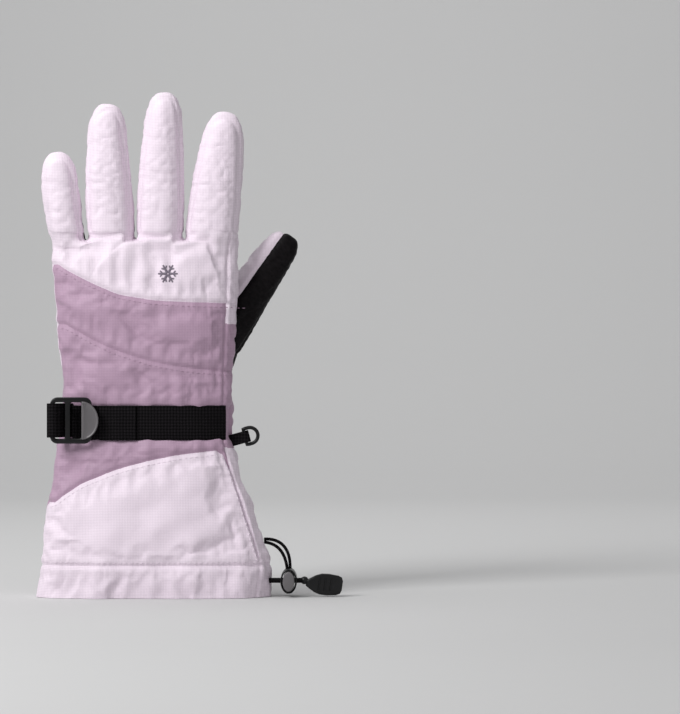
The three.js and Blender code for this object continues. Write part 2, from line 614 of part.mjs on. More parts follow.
// A straight round rod along X.
function rod(radius, x0, x1, y, z, sides = 10) {
  const geometry = new THREE.CylinderGeometry(radius, radius, x1 - x0, sides);
  geometry.rotateZ(Math.PI / 2);
  geometry.translate((x0 + x1) / 2, y, z);
  return geometry;
}

class Helix extends THREE.Curve {
  getPoint(t) {
    const turn = 2 * Math.PI * 3.5 * t;
    return new THREE.Vector3(LOCK.x + 1.9 * Math.cos(turn), mix(-0.4, 4.6, t), LOCK.z + 1.9 * Math.sin(turn));
  }
}

function buildCordLock() {
  const { halfWidth, halfHeight, front, back, wall: thick } = LOCK;
  const cordHole = toSolid(rod(CORD_WIDTH / 2 + 0.5, LOCK.x - 12, LOCK.x + 12, CORD_Y, HEM_CORD_Z));
  const barrel = toSolid(ovalPlate(halfWidth, halfHeight, front + 3, back))
    .subtract(toSolid(ovalPlate(halfWidth - thick, halfHeight - thick, front, back - thick)))
    .subtract(cordHole);
  add('cord_lock_barrel', fromSolid(largest(barrel)), LOOK.plastic);
  const button = toSolid(ovalPlate(halfWidth - thick - GAP, halfHeight - thick - GAP, front, -1))
    .subtract(toSolid(rod(CORD_WIDTH / 2 + 0.3, LOCK.x - 12, LOCK.x + 12, CORD_Y, HEM_CORD_Z))
      .add(toSolid(block([24, 4.4, 3.4], [LOCK.x, CORD_Y - 2.1, HEM_CORD_Z]))));
  add('cord_lock_button', fromSolid(largest(button)), LOOK.lever);
  const wire = new THREE.Shape(new THREE.Path().absarc(0, 0, 0.35, 0, 2 * Math.PI).getPoints(2));
  add('cord_lock_spring', new THREE.ExtrudeGeometry(wire, { steps: 30, bevelEnabled: false,
    extrudePath: new Helix() }), LOOK.steel);
}

// The flat tape that leads from the cuff's side seam to the cord lock's back.
const TAPE_ROUTE = [[68.6, 0.5, 33], [72.4, 0.6, 32.4], [76.2, 0.8, 30], [79.4, 1, 26.4], [81.6, 1.2, 22.4],
  [82.5, 1.4, 18.6], [82.5, 1.5, 17]];

function buildCords() {
  const route = new THREE.CatmullRomCurve3(TAPE_ROUTE.map((p) => new THREE.Vector3(...p)));
  const flat = new THREE.Shape();
  flat.moveTo(-2.4, -0.6);
  flat.lineTo(2.4, -0.6);
  flat.lineTo(2.4, 0.6);
  flat.lineTo(-2.4, 0.6);
  flat.closePath();
  add('anchor_tape', new THREE.ExtrudeGeometry(flat, { steps: 14, bevelEnabled: false, extrudePath: route }),
    LOOK.webbing);
  add('drawcord', rod(CORD_WIDTH / 2, CORD_START_X, CORD_END_X, CORD_Y, HEM_CORD_Z, 8), LOOK.webbing);
  const tab = new THREE.Shape();
  tab.moveTo(0, -2);
  tab.quadraticCurveTo(4, -6.6, 10, -6.6);
  tab.lineTo(20, -5.2);
  tab.quadraticCurveTo(22, 0, 20, 5.2);
  tab.lineTo(10, 6.6);
  tab.quadraticCurveTo(4, 6.6, 0, 2);
  tab.closePath();
  const pull = plate(tab, -6.6, -3.4, 4);
  pull.rotateY(radians(10));
  pull.translate(CORD_END_X + 1.3, 0, HEM_CORD_Z + 0.4);
  add('pull_tab', pull, LOOK.plastic);
}

// ---- Embroidered motif: a small six-armed star, one raised solid on the back ----
function buildMotif() {
  const centre = new THREE.Vector3(13, 0, 187);
  let star = null;
  for (let arm = 0; arm < 3; arm += 1) {
    const bar = toSolid(block([11, 2, 1.4], [0, 0, 0], Math.PI * arm / 3));
    star = star ? star.add(bar) : bar;
  }
  const geometry = fromSolid(star);
  geometry.translate(centre.x, -read(HALF_DEPTH, centre.z) - 0.6, centre.z);
  add('embroidered_star', fromSolid(largest(toSolid(geometry).subtract(toSolid(handCore(-GAP))))), LOOK.thread);
}

buildHand();
buildCuff();
for (const [name, finger] of Object.entries(FINGERS)) buildFinger(name, finger);
buildThumb();
buildStrap();
buildRing();
buildCordLock();
buildCords();
buildMotif();

// The origin is the middle of the glove's bottom, without its cords.
const ON_THE_CORD = ['anchor_tape', 'drawcord', 'cord_lock_barrel', 'cord_lock_button', 'cord_lock_spring',
  'pull_tab'];
const bounds = new THREE.Box3();
for (const mesh of glove.children) {
  if (!ON_THE_CORD.includes(mesh.name)) bounds.expandByObject(mesh);
}
const middle = bounds.getCenter(new THREE.Vector3());
for (const mesh of glove.children) mesh.geometry.translate(-middle.x, -middle.y, -bounds.min.z);

export default glove;
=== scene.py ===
"""A left-hand ski glove standing on its cuff: its visible surfaces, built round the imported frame."""

from __future__ import annotations

import json
import logging
import math
from collections.abc import Callable, Sequence
from dataclasses import dataclass, field
from enum import Enum

import bmesh
import bpy
import numpy as np
from mathutils import Matrix, Vector, noise
from mathutils.bvhtree import BVHTree


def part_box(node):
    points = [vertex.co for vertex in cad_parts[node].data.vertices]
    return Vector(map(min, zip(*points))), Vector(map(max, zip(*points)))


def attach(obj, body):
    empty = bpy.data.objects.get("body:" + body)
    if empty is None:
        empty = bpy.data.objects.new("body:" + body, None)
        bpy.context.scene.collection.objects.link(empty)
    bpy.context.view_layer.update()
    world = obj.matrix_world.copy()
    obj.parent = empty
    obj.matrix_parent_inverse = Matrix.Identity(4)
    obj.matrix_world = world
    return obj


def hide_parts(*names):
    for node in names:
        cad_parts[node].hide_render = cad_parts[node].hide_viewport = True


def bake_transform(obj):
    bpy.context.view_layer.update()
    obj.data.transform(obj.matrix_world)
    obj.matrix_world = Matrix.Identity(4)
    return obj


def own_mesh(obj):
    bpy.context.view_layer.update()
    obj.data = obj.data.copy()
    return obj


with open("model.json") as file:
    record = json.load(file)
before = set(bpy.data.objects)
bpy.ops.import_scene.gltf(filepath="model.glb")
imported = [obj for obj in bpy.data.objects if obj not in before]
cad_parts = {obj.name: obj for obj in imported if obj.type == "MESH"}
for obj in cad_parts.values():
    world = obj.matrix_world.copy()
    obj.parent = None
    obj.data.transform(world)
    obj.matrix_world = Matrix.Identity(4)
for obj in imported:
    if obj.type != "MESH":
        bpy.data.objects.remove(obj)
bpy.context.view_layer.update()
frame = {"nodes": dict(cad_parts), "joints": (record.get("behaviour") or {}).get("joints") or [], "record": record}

LOG = logging.getLogger("glove")
MM = 0.001
FULL_TURN = 360.0
FINGERS = ("index", "middle", "ring", "little")

# Seams that run up the hand, as angles round it: 0 thumb side, 90 palm, 180 little finger, 270 back.
PALM_START = 19.0
PALM_END = 146.0
BACK_START = 185.0
BACK_END = 331.0

Ring = Callable[[float], Vector]
Line = Callable[[np.ndarray], np.ndarray]
Seam = Callable[[np.ndarray], tuple[np.ndarray, np.ndarray]]

VOXEL = 2.2 * MM
SKIN_THICKNESS = 0.9 * MM
SECTION_POWER = 2.5
FINGER_POWER = 2.25


# Measuring the frame.


class Slices:
    """Reads outlines off CAD panels, by cutting their edges with planes."""

    def __init__(self, nodes: Sequence[str]) -> None:
        """Gathers the edges of the nodes.

        Args:
            nodes: names of CAD nodes.
        """
        starts, ends = [], []
        for name in nodes:
            mesh = frame["nodes"][name].data
            points = np.array([v.co[:] for v in mesh.vertices])
            edges = np.array([e.vertices[:] for e in mesh.edges])
            starts.append(points[edges[:, 0]])
            ends.append(points[edges[:, 1]])
        self.a = np.concatenate(starts)
        self.b = np.concatenate(ends)

    def cut(self, way: Sequence[float], at: float) -> np.ndarray:
        """Points where edges cross a plane.

        Args:
            way: the plane's normal.
            at: its distance along the normal, in metres.

        Returns:
            The crossing points, one a row.
        """
        normal = np.array(way, float)
        da = self.a @ normal - at
        db = self.b @ normal - at
        hit = (da * db <= 0) & (np.abs(da - db) > 1e-9)
        t = (da[hit] / (da[hit] - db[hit]))[:, None]
        return self.a[hit] + t * (self.b[hit] - self.a[hit])


def smoothed(values: np.ndarray, passes: int = 2) -> np.ndarray:
    """Softens the corners of a row of readings, keeping its ends.

    Args:
        values: the readings.
        passes: how often they are softened.

    Returns:
        The softened readings.
    """
    out = values.copy()
    for _ in range(passes):
        out[1:-1] = (out[:-2] + 2 * out[1:-1] + out[2:]) / 4
    return out


HAND_NODES = (
    "back_panel", "back_mid_panel", "back_wrist_panel", "back_cuff_panel", "palm_cuff_panel",
    "palm_wrist_panel", "index_side_strip", "palm_panel", "little_side_strip", "hem_channel",
)
MIDDLE_Y = (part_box("hem_channel")[0].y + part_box("hem_channel")[1].y) / 2
HAND_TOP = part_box("back_panel")[1].z


class HandProfile:
    """The hand and cuff's width and depth at each height."""

    def __init__(self) -> None:
        """Measures the CAD panels every few millimetres."""
        slices = Slices(HAND_NODES)
        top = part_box("little_side_strip")[1].z - 4 * MM
        self.z = np.linspace(0.4 * MM, top, 56)
        cuts = [slices.cut((0, 0, 1), z) for z in self.z]
        self.left = smoothed(np.array([c[:, 0].min() for c in cuts]))
        self.right = smoothed(np.array([c[:, 0].max() for c in cuts]))
        self.half_depth = smoothed(np.array([MIDDLE_Y - c[:, 1].min() for c in cuts]))
        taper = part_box("index_back")[0].y
        self.z = np.append(self.z, HAND_TOP)
        self.left = np.append(self.left, self.left[-1] - 0.3 * MM)
        self.right = np.append(self.right, self.right[-1])
        self.half_depth = np.append(self.half_depth, MIDDLE_Y - taper)

    def at(self, z: np.ndarray) -> tuple[np.ndarray, np.ndarray, np.ndarray]:
        """Middle X, half width and half depth at heights z."""
        left = np.interp(z, self.z, self.left)
        right = np.interp(z, self.z, self.right)
        return (left + right) / 2, (right - left) / 2, np.interp(z, self.z, self.half_depth)

    def angle_and_rise(self, points: np.ndarray) -> tuple[np.ndarray, np.ndarray]:
        """Where points lie round the hand, and how far they stand off its surface.

        Args:
            points: positions in metres, one a row.

        Returns:
            Angles in degrees from 0 to 360, and rises in metres.
        """
        middle, a, b = self.at(points[:, 2])
        c = (points[:, 0] - middle) / a
        s = (points[:, 1] - MIDDLE_Y) / b
        power = SECTION_POWER / 2
        angle = np.degrees(np.arctan2(np.sign(s) * np.abs(s) ** power, np.sign(c) * np.abs(c) ** power))
        size = (np.abs(c) ** SECTION_POWER + np.abs(s) ** SECTION_POWER) ** (1 / SECTION_POWER)
        return angle % FULL_TURN, (size - 1) * b


class FingerProfile:
    """One finger's middle, half width and half depth at each height."""

    def __init__(self, name: str) -> None:
        """Measures the finger's CAD shell.

        Args:
            name: the finger's name.
        """
        self.name = name
        slices = Slices([f"{name}_{part}" for part in ("back", "fourchette", "palm")])
        low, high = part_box(f"{name}_back")[0].z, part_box(f"{name}_fourchette")[1].z
        self.base = low
        self.tip = high
        self.z = np.linspace(low + 1 * MM, high - 0.3 * MM, 30)
        cuts = [slices.cut((0, 0, 1), z) for z in self.z]
        self.left = np.array([c[:, 0].min() for c in cuts])
        self.right = np.array([c[:, 0].max() for c in cuts])
        self.half_depth = np.array([MIDDLE_Y - c[:, 1].min() for c in cuts])
        palm = Slices([f"{name}_palm"])
        window = [palm.cut((0, 0, 1), z) for z in self.z[2:]]
        seen = [i for i, c in enumerate(window) if len(c)]
        self.window_z = self.z[2:][seen]
        self.window_left = np.array([window[i][:, 0].min() for i in seen])
        self.window_right = np.array([window[i][:, 0].max() for i in seen])
        self.window_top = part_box(f"{name}_palm")[1].z

    def at(self, z: np.ndarray) -> tuple[np.ndarray, np.ndarray, np.ndarray]:
        """Middle X, half width and half depth at heights z."""
        left = np.interp(z, self.z, self.left)
        right = np.interp(z, self.z, self.right)
        return (left + right) / 2, (right - left) / 2, np.interp(z, self.z, self.half_depth)


class ThumbProfile:
    """The thumb's course and section along its own axis, from the thumb joint."""

    def __init__(self) -> None:
        """Measures the thumb's CAD shell across the joint's direction."""
        joint = next(j for j in frame["joints"] if j["name"] == "thumb_flex")
        axis = Vector(joint["axis"]).normalized()
        self.way = Vector((axis.z, 0, -axis.x))
        self.side = Vector((self.way.z, 0, -self.way.x))
        self.root = Vector(joint["pos_m"])
        slices = Slices(["thumb_side_strip", "thumb_back_panel", "thumb_palm_panel"])
        base = self.root.dot(self.way)
        ends = np.concatenate([slices.a, slices.b]) @ np.array(self.way)
        self.length = float(ends.max()) - base
        self.s = np.linspace(10 * MM, self.length - 0.6 * MM, 26)
        self.middle, self.half_width, self.half_depth = [], [], []
        for s in self.s:
            cut = slices.cut(self.way, base + s)
            across = (cut - np.array(self.root)) @ np.array(self.side)
            y = cut[:, 1]
            place = self.root + self.way * s + self.side * float(across.min() + across.max()) / 2
            self.middle.append((place.x, (y.min() + y.max()) / 2, place.z))
            self.half_width.append((across.max() - across.min()) / 2)
            self.half_depth.append((y.max() - y.min()) / 2)
        self.middle = np.array(self.middle)

    def coordinates(self, points: np.ndarray) -> tuple[np.ndarray, np.ndarray]:
        """Distances along and across the thumb, in metres, of points."""
        offset = points - np.array(self.root)
        return offset @ np.array(self.way), offset @ np.array(self.side)

    def sections(self, s: np.ndarray) -> tuple[np.ndarray, np.ndarray, np.ndarray]:
        """Middles, half widths and half depths at distances along the thumb, in metres."""
        middle = np.stack([np.interp(s, self.s, self.middle[:, k]) for k in range(3)], 1)
        return middle, np.interp(s, self.s, self.half_width), np.interp(s, self.s, self.half_depth)

    def section(self, s: float) -> tuple[Vector, float, float]:
        """Middle, half width and half depth at a distance along the thumb, in metres.

        Args:
            s: the distance, from the thumb joint.

        Returns:
            The section's middle, half width and half depth.
        """
        if s < self.s[0]:
            run = self.s[0] - s
            lean = (self.middle[4] - self.middle[0]) / (self.s[4] - self.s[0])
            grow = 1 + 0.10 * run / (20 * MM)
            return (Vector(self.middle[0] - lean * run), self.half_width[0] * grow, self.half_depth[0] * grow)
        middle = Vector([float(np.interp(s, self.s, self.middle[:, k])) for k in range(3)])
        return (middle, float(np.interp(s, self.s, self.half_width)), float(np.interp(s, self.s, self.half_depth)))


# Mesh helpers.


def new_object(name: str, mesh: bpy.types.Mesh) -> bpy.types.Object:
    """Puts a mesh in the scene as an object at the origin; one named after a CAD node stands for it.

    Args:
        name: the piece's name.
        mesh: its mesh.

    Returns:
        The new object.
    """
    obj = bpy.data.objects.new(f"{name}_piece" if name in frame["nodes"] else name, mesh)
    bpy.context.scene.collection.objects.link(obj)
    return obj


def object_from(name: str, bm: bmesh.types.BMesh, smooth: bool = True) -> bpy.types.Object:
    """Turns a bmesh into an object and frees it.

    Args:
        name: the piece's name.
        bm: its mesh in the making.
        smooth: whether its faces are shaded smooth.

    Returns:
        The new object.
    """
    mesh = bpy.data.meshes.new(name)
    bm.to_mesh(mesh)
    bm.free()
    mesh.polygons.foreach_set("use_smooth", [smooth] * len(mesh.polygons))
    return new_object(name, mesh)


def settle(obj: bpy.types.Object) -> bpy.types.Object:
    """Applies an object's modifiers to its mesh.

    Args:
        obj: the object.

    Returns:
        The same object, with no modifiers.
    """
    graph = bpy.context.evaluated_depsgraph_get()
    mesh = bpy.data.meshes.new_from_object(obj.evaluated_get(graph))
    old = obj.data
    obj.modifiers.clear()
    obj.data = mesh
    bpy.data.meshes.remove(old)
    return obj


def remesh(obj: bpy.types.Object, voxel: float) -> bpy.types.Object:
    """Rebuilds a closed mesh as even quads of about one voxel.

    Args:
        obj: the object.
        voxel: size of a voxel, in metres.

    Returns:
        The same object.
    """
    modifier = obj.modifiers.new("remesh", "REMESH")
    modifier.mode = "VOXEL"
    modifier.voxel_size = voxel
    modifier.use_smooth_shade = True
    return settle(obj)


def soften(obj: bpy.types.Object, factor: float, passes: int) -> bpy.types.Object:
    """Smooths a mesh evenly.

    Args:
        obj: the object.
        factor: strength of a pass.
        passes: how many passes.

    Returns:
        The same object.
    """
    modifier = obj.modifiers.new("soften", "SMOOTH")
    modifier.factor = factor
    modifier.iterations = passes
    return settle(obj)


def vectors(items: bpy.types.bpy_prop_collection, key: str) -> np.ndarray:
    """One vector of each item of a mesh.

    Args:
        items: its vertices, normals or faces.
        key: the vector's name.

    Returns:
        The vectors, one a row.
    """
    out = np.empty(len(items) * 3, np.float32)
    items.foreach_get(key, out)
    return out.reshape(-1, 3).astype(float)


def coordinates(mesh: bpy.types.Mesh) -> np.ndarray:
    """A mesh's vertex positions, one a row."""
    return vectors(mesh.vertices, "co")


def normals(mesh: bpy.types.Mesh) -> np.ndarray:
    """A mesh's vertex normals, one a row."""
    return vectors(mesh.vertex_normals, "vector")


def move_to(mesh: bpy.types.Mesh, co: np.ndarray) -> None:
    """Sets a mesh's vertex positions."""
    mesh.vertices.foreach_set("co", co.astype(np.float32).ravel())
    mesh.update()


def loft(bm: bmesh.types.BMesh, places: Sequence[Ring], segments: int = 40,
         caps: bool = True) -> list[bmesh.types.BMVert]:
    """Bridges a stack of closed rings.

    Args:
        bm: mesh to add to.
        places: one function a ring, from an angle in radians to a position.
        segments: points in each ring.
        caps: whether the first and last rings are closed with a face.

    Returns:
        The new vertices, ring by ring.
    """
    loops, made = [], []
    for place in places:
        verts = bmesh.ops.create_circle(bm, cap_ends=False, segments=segments, radius=1.0)["verts"]
        for i, vert in enumerate(verts):
            vert.co = place(math.tau * i / segments)
        loops.append(list({edge for vert in verts for edge in vert.link_edges}))
        made.extend(verts)
    for below, above in zip(loops, loops[1:]):
        bmesh.ops.bridge_loops(bm, edges=below + above)
    if caps:
        bmesh.ops.holes_fill(bm, edges=loops[0] + loops[-1], sides=segments)
    bmesh.ops.recalc_face_normals(bm, faces=list({f for v in made for f in v.link_faces}))
    return made


def off_seam(angle: np.ndarray, seam: float) -> np.ndarray:
    """Degrees from a seam to angles round the hand, from -180 to 180."""
    return (angle - seam + FULL_TURN / 2) % FULL_TURN - FULL_TURN / 2


def squircle(angle: float, power: float) -> tuple[float, float]:
    """A point on a rounded square of half size 1, at an angle in radians."""
    c, s = math.cos(angle), math.sin(angle)
    return math.copysign(abs(c) ** (2 / power), c), math.copysign(abs(s) ** (2 / power), s)


def smoothstep(low: float, high: float, x: np.ndarray) -> np.ndarray:
    """Rises smoothly from 0 at low to 1 at high."""
    t = np.clip((x - low) / (high - low), 0, 1)
    return t * t * (3 - 2 * t)


def bell(x: np.ndarray, width: float) -> np.ndarray:
    """1 where x is 0, falling off over about one width."""
    return np.exp(-((x / width) ** 2))


def noise_at(points: np.ndarray, scale: Sequence[float], seed: float = 0.0) -> np.ndarray:
    """Smooth noise between about -1 and 1.

    Args:
        points: positions in metres, one a row.
        scale: the size of a lump along X, Y and Z, in metres.
        seed: shifts the pattern.

    Returns:
        One value a point.
    """
    scaled = points / np.array(scale) + seed
    return np.array([noise.noise(Vector(p)) for p in scaled])


# The skin of the whole glove.


def face_centres(mesh: bpy.types.Mesh) -> np.ndarray:
    """A mesh's face centres, one a row."""
    return vectors(mesh.polygons, "center")


def cut_along(bm: bmesh.types.BMesh, field_of: Seam, snap: float = 0.16 * MM) -> None:
    """Cuts a mesh's faces along the line where a field is zero.

    Args:
        bm: the mesh.
        field_of: gives signed distances in metres at points, and a mask of where they count.
        snap: vertices nearer the line than this are taken as on it.
    """
    bm.verts.ensure_lookup_table()
    bm.verts.index_update()
    points = np.array([v.co[:] for v in bm.verts])
    values, there = field_of(points)
    values = np.where(np.abs(values) < snap, 0.0, values)
    sign = np.sign(values)
    on_line = [bm.verts[int(i)] for i in np.nonzero((sign == 0) & there)[0]]
    near = np.nonzero(there & (np.abs(values) < 3 * MM))[0]
    crossing = {}
    for i in near:
        for edge in bm.verts[int(i)].link_edges:
            a, b = (v.index for v in edge.verts)
            if sign[a] * sign[b] < 0:
                crossing[edge] = (a, b)
    for edge, (a, b) in crossing.items():
        share = float(values[a] / (values[a] - values[b]))
        _, vert = bmesh.utils.edge_split(edge, edge.verts[0], share)
        on_line.append(vert)
    if on_line:
        bmesh.ops.connect_verts(bm, verts=on_line, check_degenerate=False)


PANELS = [
    "back_panel", "back_mid_panel", "back_wrist_panel", "back_cuff_panel", "palm_cuff_panel", "palm_wrist_panel",
    "palm_panel", "index_side_strip", "little_side_strip", "hem_channel", "thumb_gusset", "thumb_side_strip",
    "thumb_back_panel", "thumb_palm_panel",
] + [f"{name}_{part}" for name in FINGERS for part in ("back", "fourchette", "palm")]
BENDING_PANELS = [panel for panel in PANELS if panel.split("_")[0] in (*FINGERS, "thumb") and panel != "thumb_gusset"]


class Seams:
    """Where the panels meet, as heights over X, read off the CAD panels."""

    def __init__(self) -> None:
        """Reads each seam."""
        self.hand = HandProfile()
        self.back_top = self.edge(["back_panel"], -1, np.min)
        self.back_mid = self.edge(["back_wrist_panel"], -1, np.max)
        self.back_cuff = self.edge(["back_cuff_panel"], -1, np.max)
        self.palm_cuff = self.edge(["palm_cuff_panel"], 1, np.max)
        self.palm = self.palm_seam()
        self.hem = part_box("hem_channel")[1].z
        self.index_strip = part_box("index_side_strip")[0].z
        elastics = [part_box(f"{row}_wrist_elastic") for row in ("upper", "lower")]
        self.elastic_rows = [(low.z + high.z) / 2 for low, high in elastics]
        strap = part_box("wrist_strap")
        self.strap_middle = (strap[0].z + strap[1].z) / 2
        self.strap_half = (strap[1].z - strap[0].z) / 2

    def palm_seam(self) -> Line:
        """The palm panel's lower edge, carried on straight behind the thumb's gusset."""
        beside = self.edge(["palm_panel", "little_side_strip"], 1, np.min)
        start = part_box("thumb_gusset")[0].x - 3 * MM
        height = float(beside(np.array(start)))
        return lambda x: np.where(x < start, beside(x), height + 0.11 * (x - start))

    def edge(self, nodes: Sequence[str], side: int, pick: Callable[[np.ndarray], float]) -> Line:
        """An edge of a panel.

        Args:
            nodes: the CAD nodes that share the edge.
            side: -1 for its part on the back, 1 for its part on the palm.
            pick: numpy's min or max, for the lower or upper edge.

        Returns:
            A function from X to the edge's height.
        """
        slices = Slices(nodes)
        boxes = [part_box(node) for node in nodes]
        xs = np.linspace(min(b[0].x for b in boxes) + 1 * MM, max(b[1].x for b in boxes) - 1 * MM, 32)
        found_x, found_z = [], []
        for x in xs:
            cut = slices.cut((1, 0, 0), x)
            cut = cut[(cut[:, 1] - MIDDLE_Y) * side > 1 * MM]
            if len(cut):
                found_x.append(x)
                found_z.append(pick(cut[:, 2]))
        found_x, found_z = np.array(found_x), np.array(found_z)
        middle, half, _ = self.hand.at(found_z)
        inner = np.abs(found_x - middle) < 0.93 * half
        across, heights = found_x[inner], smoothed(found_z[inner], 1)
        return lambda x: np.interp(x, across, heights)


@dataclass
class Crotch:
    """The fork between two fingers."""

    left: str
    right: str
    z: float


STRIP_SEAM = -3.5 * MM             # across the thumb, where its pale strip meets its black panels
GUSSET_END = 2.0 * MM              # along the thumb, where the gusset meets the thumb's own panels
THUMB_UNDERSIDE = MIDDLE_Y + 11.5 * MM
THUMB_RISE = 1.8 * MM
THUMB_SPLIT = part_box("thumb_palm_panel")[0].y
SHELL_CLOTH = {
    "quality": 4, "mass": 0.25, "tension_stiffness": 8, "compression_stiffness": 4, "shear_stiffness": 3,
    "bending_stiffness": 0.4, "use_pressure": True, "vertex_group_mass": "pins", "shrink_min": -0.05,
}
GUSSET_CENTRE = (0.44, 0.36)       # shares of its box across and up
REACH = 0.2                        # from here a ray reaches either face of the glove, in metres


@dataclass(frozen=True)
class ThumbZone:
    """Where points lie on the thumb and its gusset, one value a point."""

    along: np.ndarray
    across: np.ndarray
    capsule: np.ndarray
    rise: np.ndarray
    tube: np.ndarray
    strip_edge: np.ndarray
    on_thumb: np.ndarray
    on_gusset: np.ndarray


@dataclass
class Skin:
    """The glove's outer surface as one mesh, before it is cut into its panels."""

    segments: int = 44
    blend_rise: float = 3.5 * MM       # how far above its knuckle a finger's own pieces start
    groove_depth: float = 0.75 * MM
    groove_width: float = 1.3 * MM
    cloth_frames: int = 16
    cloth_pressure: float = 3.0
    cloth_cap: float = 2.2 * MM
    finger_cap: float = 0.5 * MM
    finger_fill: float = 1.75 * MM
    finger_inset: float = 1.9 * MM     # leaves room between the fingers until they are filled out
    thumb: ThumbProfile = field(default_factory=ThumbProfile)
    seams: Seams = field(default_factory=Seams)
    fingers: dict[str, FingerProfile] = field(default_factory=dict)
    crotches: list[Crotch] = field(default_factory=list)
    labels: np.ndarray | None = None
    obj: bpy.types.Object | None = None
    tree: BVHTree | None = None

    def __post_init__(self) -> None:
        """Measures the fingers and the forks between them."""
        self.hand = self.seams.hand
        self.fingers = {name: FingerProfile(name) for name in FINGERS}
        self.crotches = [Crotch(left, right, max(self.fingers[left].base, self.fingers[right].base))
                         for right, left in zip(FINGERS, FINGERS[1:])][::-1]

    def hand_ring(self, z: float, inset: float = 0.0) -> Ring:
        """The hand's section at a height, drawn in by an inset.

        Args:
            z: the height.
            inset: how far it is drawn in.

        Returns:
            The section, by angle in radians.
        """
        middle, a, b = (float(v) for v in self.hand.at(np.array(z)))

        def place(angle: float) -> Vector:
            """A point on the ring."""
            c, s = squircle(angle, SECTION_POWER)
            return Vector((middle + (a - inset) * c, MIDDLE_Y + (b - inset) * s, z))

        return place

    def finger_ring(self, finger: FingerProfile, z: float, inset: float = 0.0) -> Ring:
        """A finger's section at a height, drawn in by an inset.

        Args:
            finger: the finger.
            z: the height.
            inset: how far it is drawn in.

        Returns:
            The section, by angle in radians.
        """
        middle, a, b = (float(v) for v in finger.at(np.array(z)))
        a, b = max(a - inset, 0.2 * MM), max(b - inset, 0.2 * MM)

        def place(angle: float) -> Vector:
            """A point on the ring."""
            c, s = squircle(angle, FINGER_POWER)
            return Vector((middle + a * c, MIDDLE_Y + b * s, z))

        return place

    def thumb_ring(self, s: float, inset: float = 0.0) -> Ring:
        """The thumb's section at a distance along it, drawn in by an inset.

        Args:
            s: the distance.
            inset: how far it is drawn in.

        Returns:
            The section, by angle in radians.
        """
        middle, a, b = self.thumb.section(s)
        a, b = max(a - inset, 0.2 * MM), max(b - inset, 0.2 * MM)

        def place(angle: float) -> Vector:
            """A point on the ring."""
            c, sn = squircle(angle, FINGER_POWER)
            return middle + self.thumb.side * (a * c) + Vector((0, b * sn, 0))

        return place

    @staticmethod
    def gusset_centre() -> np.ndarray:
        """The middle of the gusset's round end, on the plane Y = 0."""
        low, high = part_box("thumb_gusset")
        across, up = GUSSET_CENTRE
        return np.array((low.x + across * (high.x - low.x), 0, low.z + up * (high.z - low.z)))

    def gusset_rings(self) -> list[Ring]:
        """Sections of the thumb's base, from an oval inside the palm to the thumb's root."""
        middle, a, b = self.thumb.section(0.0)
        centre = self.gusset_centre()
        palm = Vector((centre[0], MIDDLE_Y + 2 * MM, centre[2]))
        rings = []
        for t in (0.0, 0.25, 0.5, 0.75, 1.0):
            def place(angle: float, t: float = t) -> Vector:
                """A point on the ring."""
                c, s = squircle(angle, 2.0)
                start = palm + self.thumb.side * (17.5 * MM * c) - self.thumb.way * (15.5 * MM * s)
                end = middle + self.thumb.side * (a * c) + Vector((0, b * s, 0))
                swell = 4 * t * (1 - t) * max(0.0, s)
                return start.lerp(end, t) + Vector((0, 6.5 * MM * swell, 0)) - self.thumb.way * (3 * MM * swell)

            rings.append(place)
        return rings

    def rough(self) -> bpy.types.Object:
        """Joins plain tubes for the cuff, hand, fingers and thumb."""
        bm = bmesh.new()
        heights = np.linspace(-4 * MM, HAND_TOP - 3 * MM, 44)
        loft(bm, [self.hand_ring(z) for z in heights], self.segments)
        for finger in self.fingers.values():
            rise = finger.tip - finger.base
            share = [-0.28, 0, 0.15, 0.3, 0.45, 0.6, 0.7, 0.78, 0.84, 0.89, 0.93, 0.96, 0.98, 0.993]
            loft(bm, [self.finger_ring(finger, finger.base + t * rise, self.finger_inset) for t in share], 28)
        share = [0.0, 0.12, 0.25, 0.4, 0.55, 0.68, 0.78, 0.86, 0.91, 0.95, 0.975, 0.99]
        rings = self.gusset_rings() + [self.thumb_ring(t * self.thumb.length) for t in share[1:]]
        loft(bm, rings, 28)
        return object_from("glove_skin", bm)

    def inflate(self, obj: bpy.types.Object) -> None:
        """Blows the padding up against its seams with a short cloth simulation, capped.

        Args:
            obj: the plain skin.
        """
        before = coordinates(obj.data)
        pins = obj.vertex_groups.new(name="pins")
        hold = self.seam_nearness(before)
        for i, weight in enumerate(hold):
            if weight > 0.02:
                pins.add([i], float(weight), "REPLACE")
        cloth = obj.modifiers.new("cloth", "CLOTH")
        for setting, value in SHELL_CLOTH.items():
            setattr(cloth.settings, setting, value)
        cloth.settings.uniform_pressure_force = self.cloth_pressure
        cloth.settings.effector_weights.gravity = 0
        cloth.point_cache.frame_start = 1
        cloth.point_cache.frame_end = self.cloth_frames
        scene = bpy.context.scene
        for number in range(1, self.cloth_frames + 1):
            scene.frame_set(number)
        settle(obj)
        scene.frame_set(1)
        moved = coordinates(obj.data) - before
        length = np.linalg.norm(moved, axis=1)[:, None]
        cap = np.where(before[:, 2] > HAND_TOP, self.finger_cap, self.cloth_cap)[:, None]
        capped = moved * np.minimum(1, cap / np.maximum(length, 1e-9))
        move_to(obj.data, before + capped)

    def hit(self, x: float, z: float, side: int) -> tuple[Vector | None, Vector | None]:
        """Where a ray meets the glove, on the back (-1) or the palm (1), and the normal there."""
        spot, normal, _, _ = self.tree.ray_cast(Vector((x, REACH * side, z)), Vector((0, -side, 0)))
        return spot, normal

    def stand_off(self, point: Vector) -> float:
        """How far a point stands off the plain hand, in metres."""
        return float(self.hand.angle_and_rise(np.array([point[:]]))[1][0])

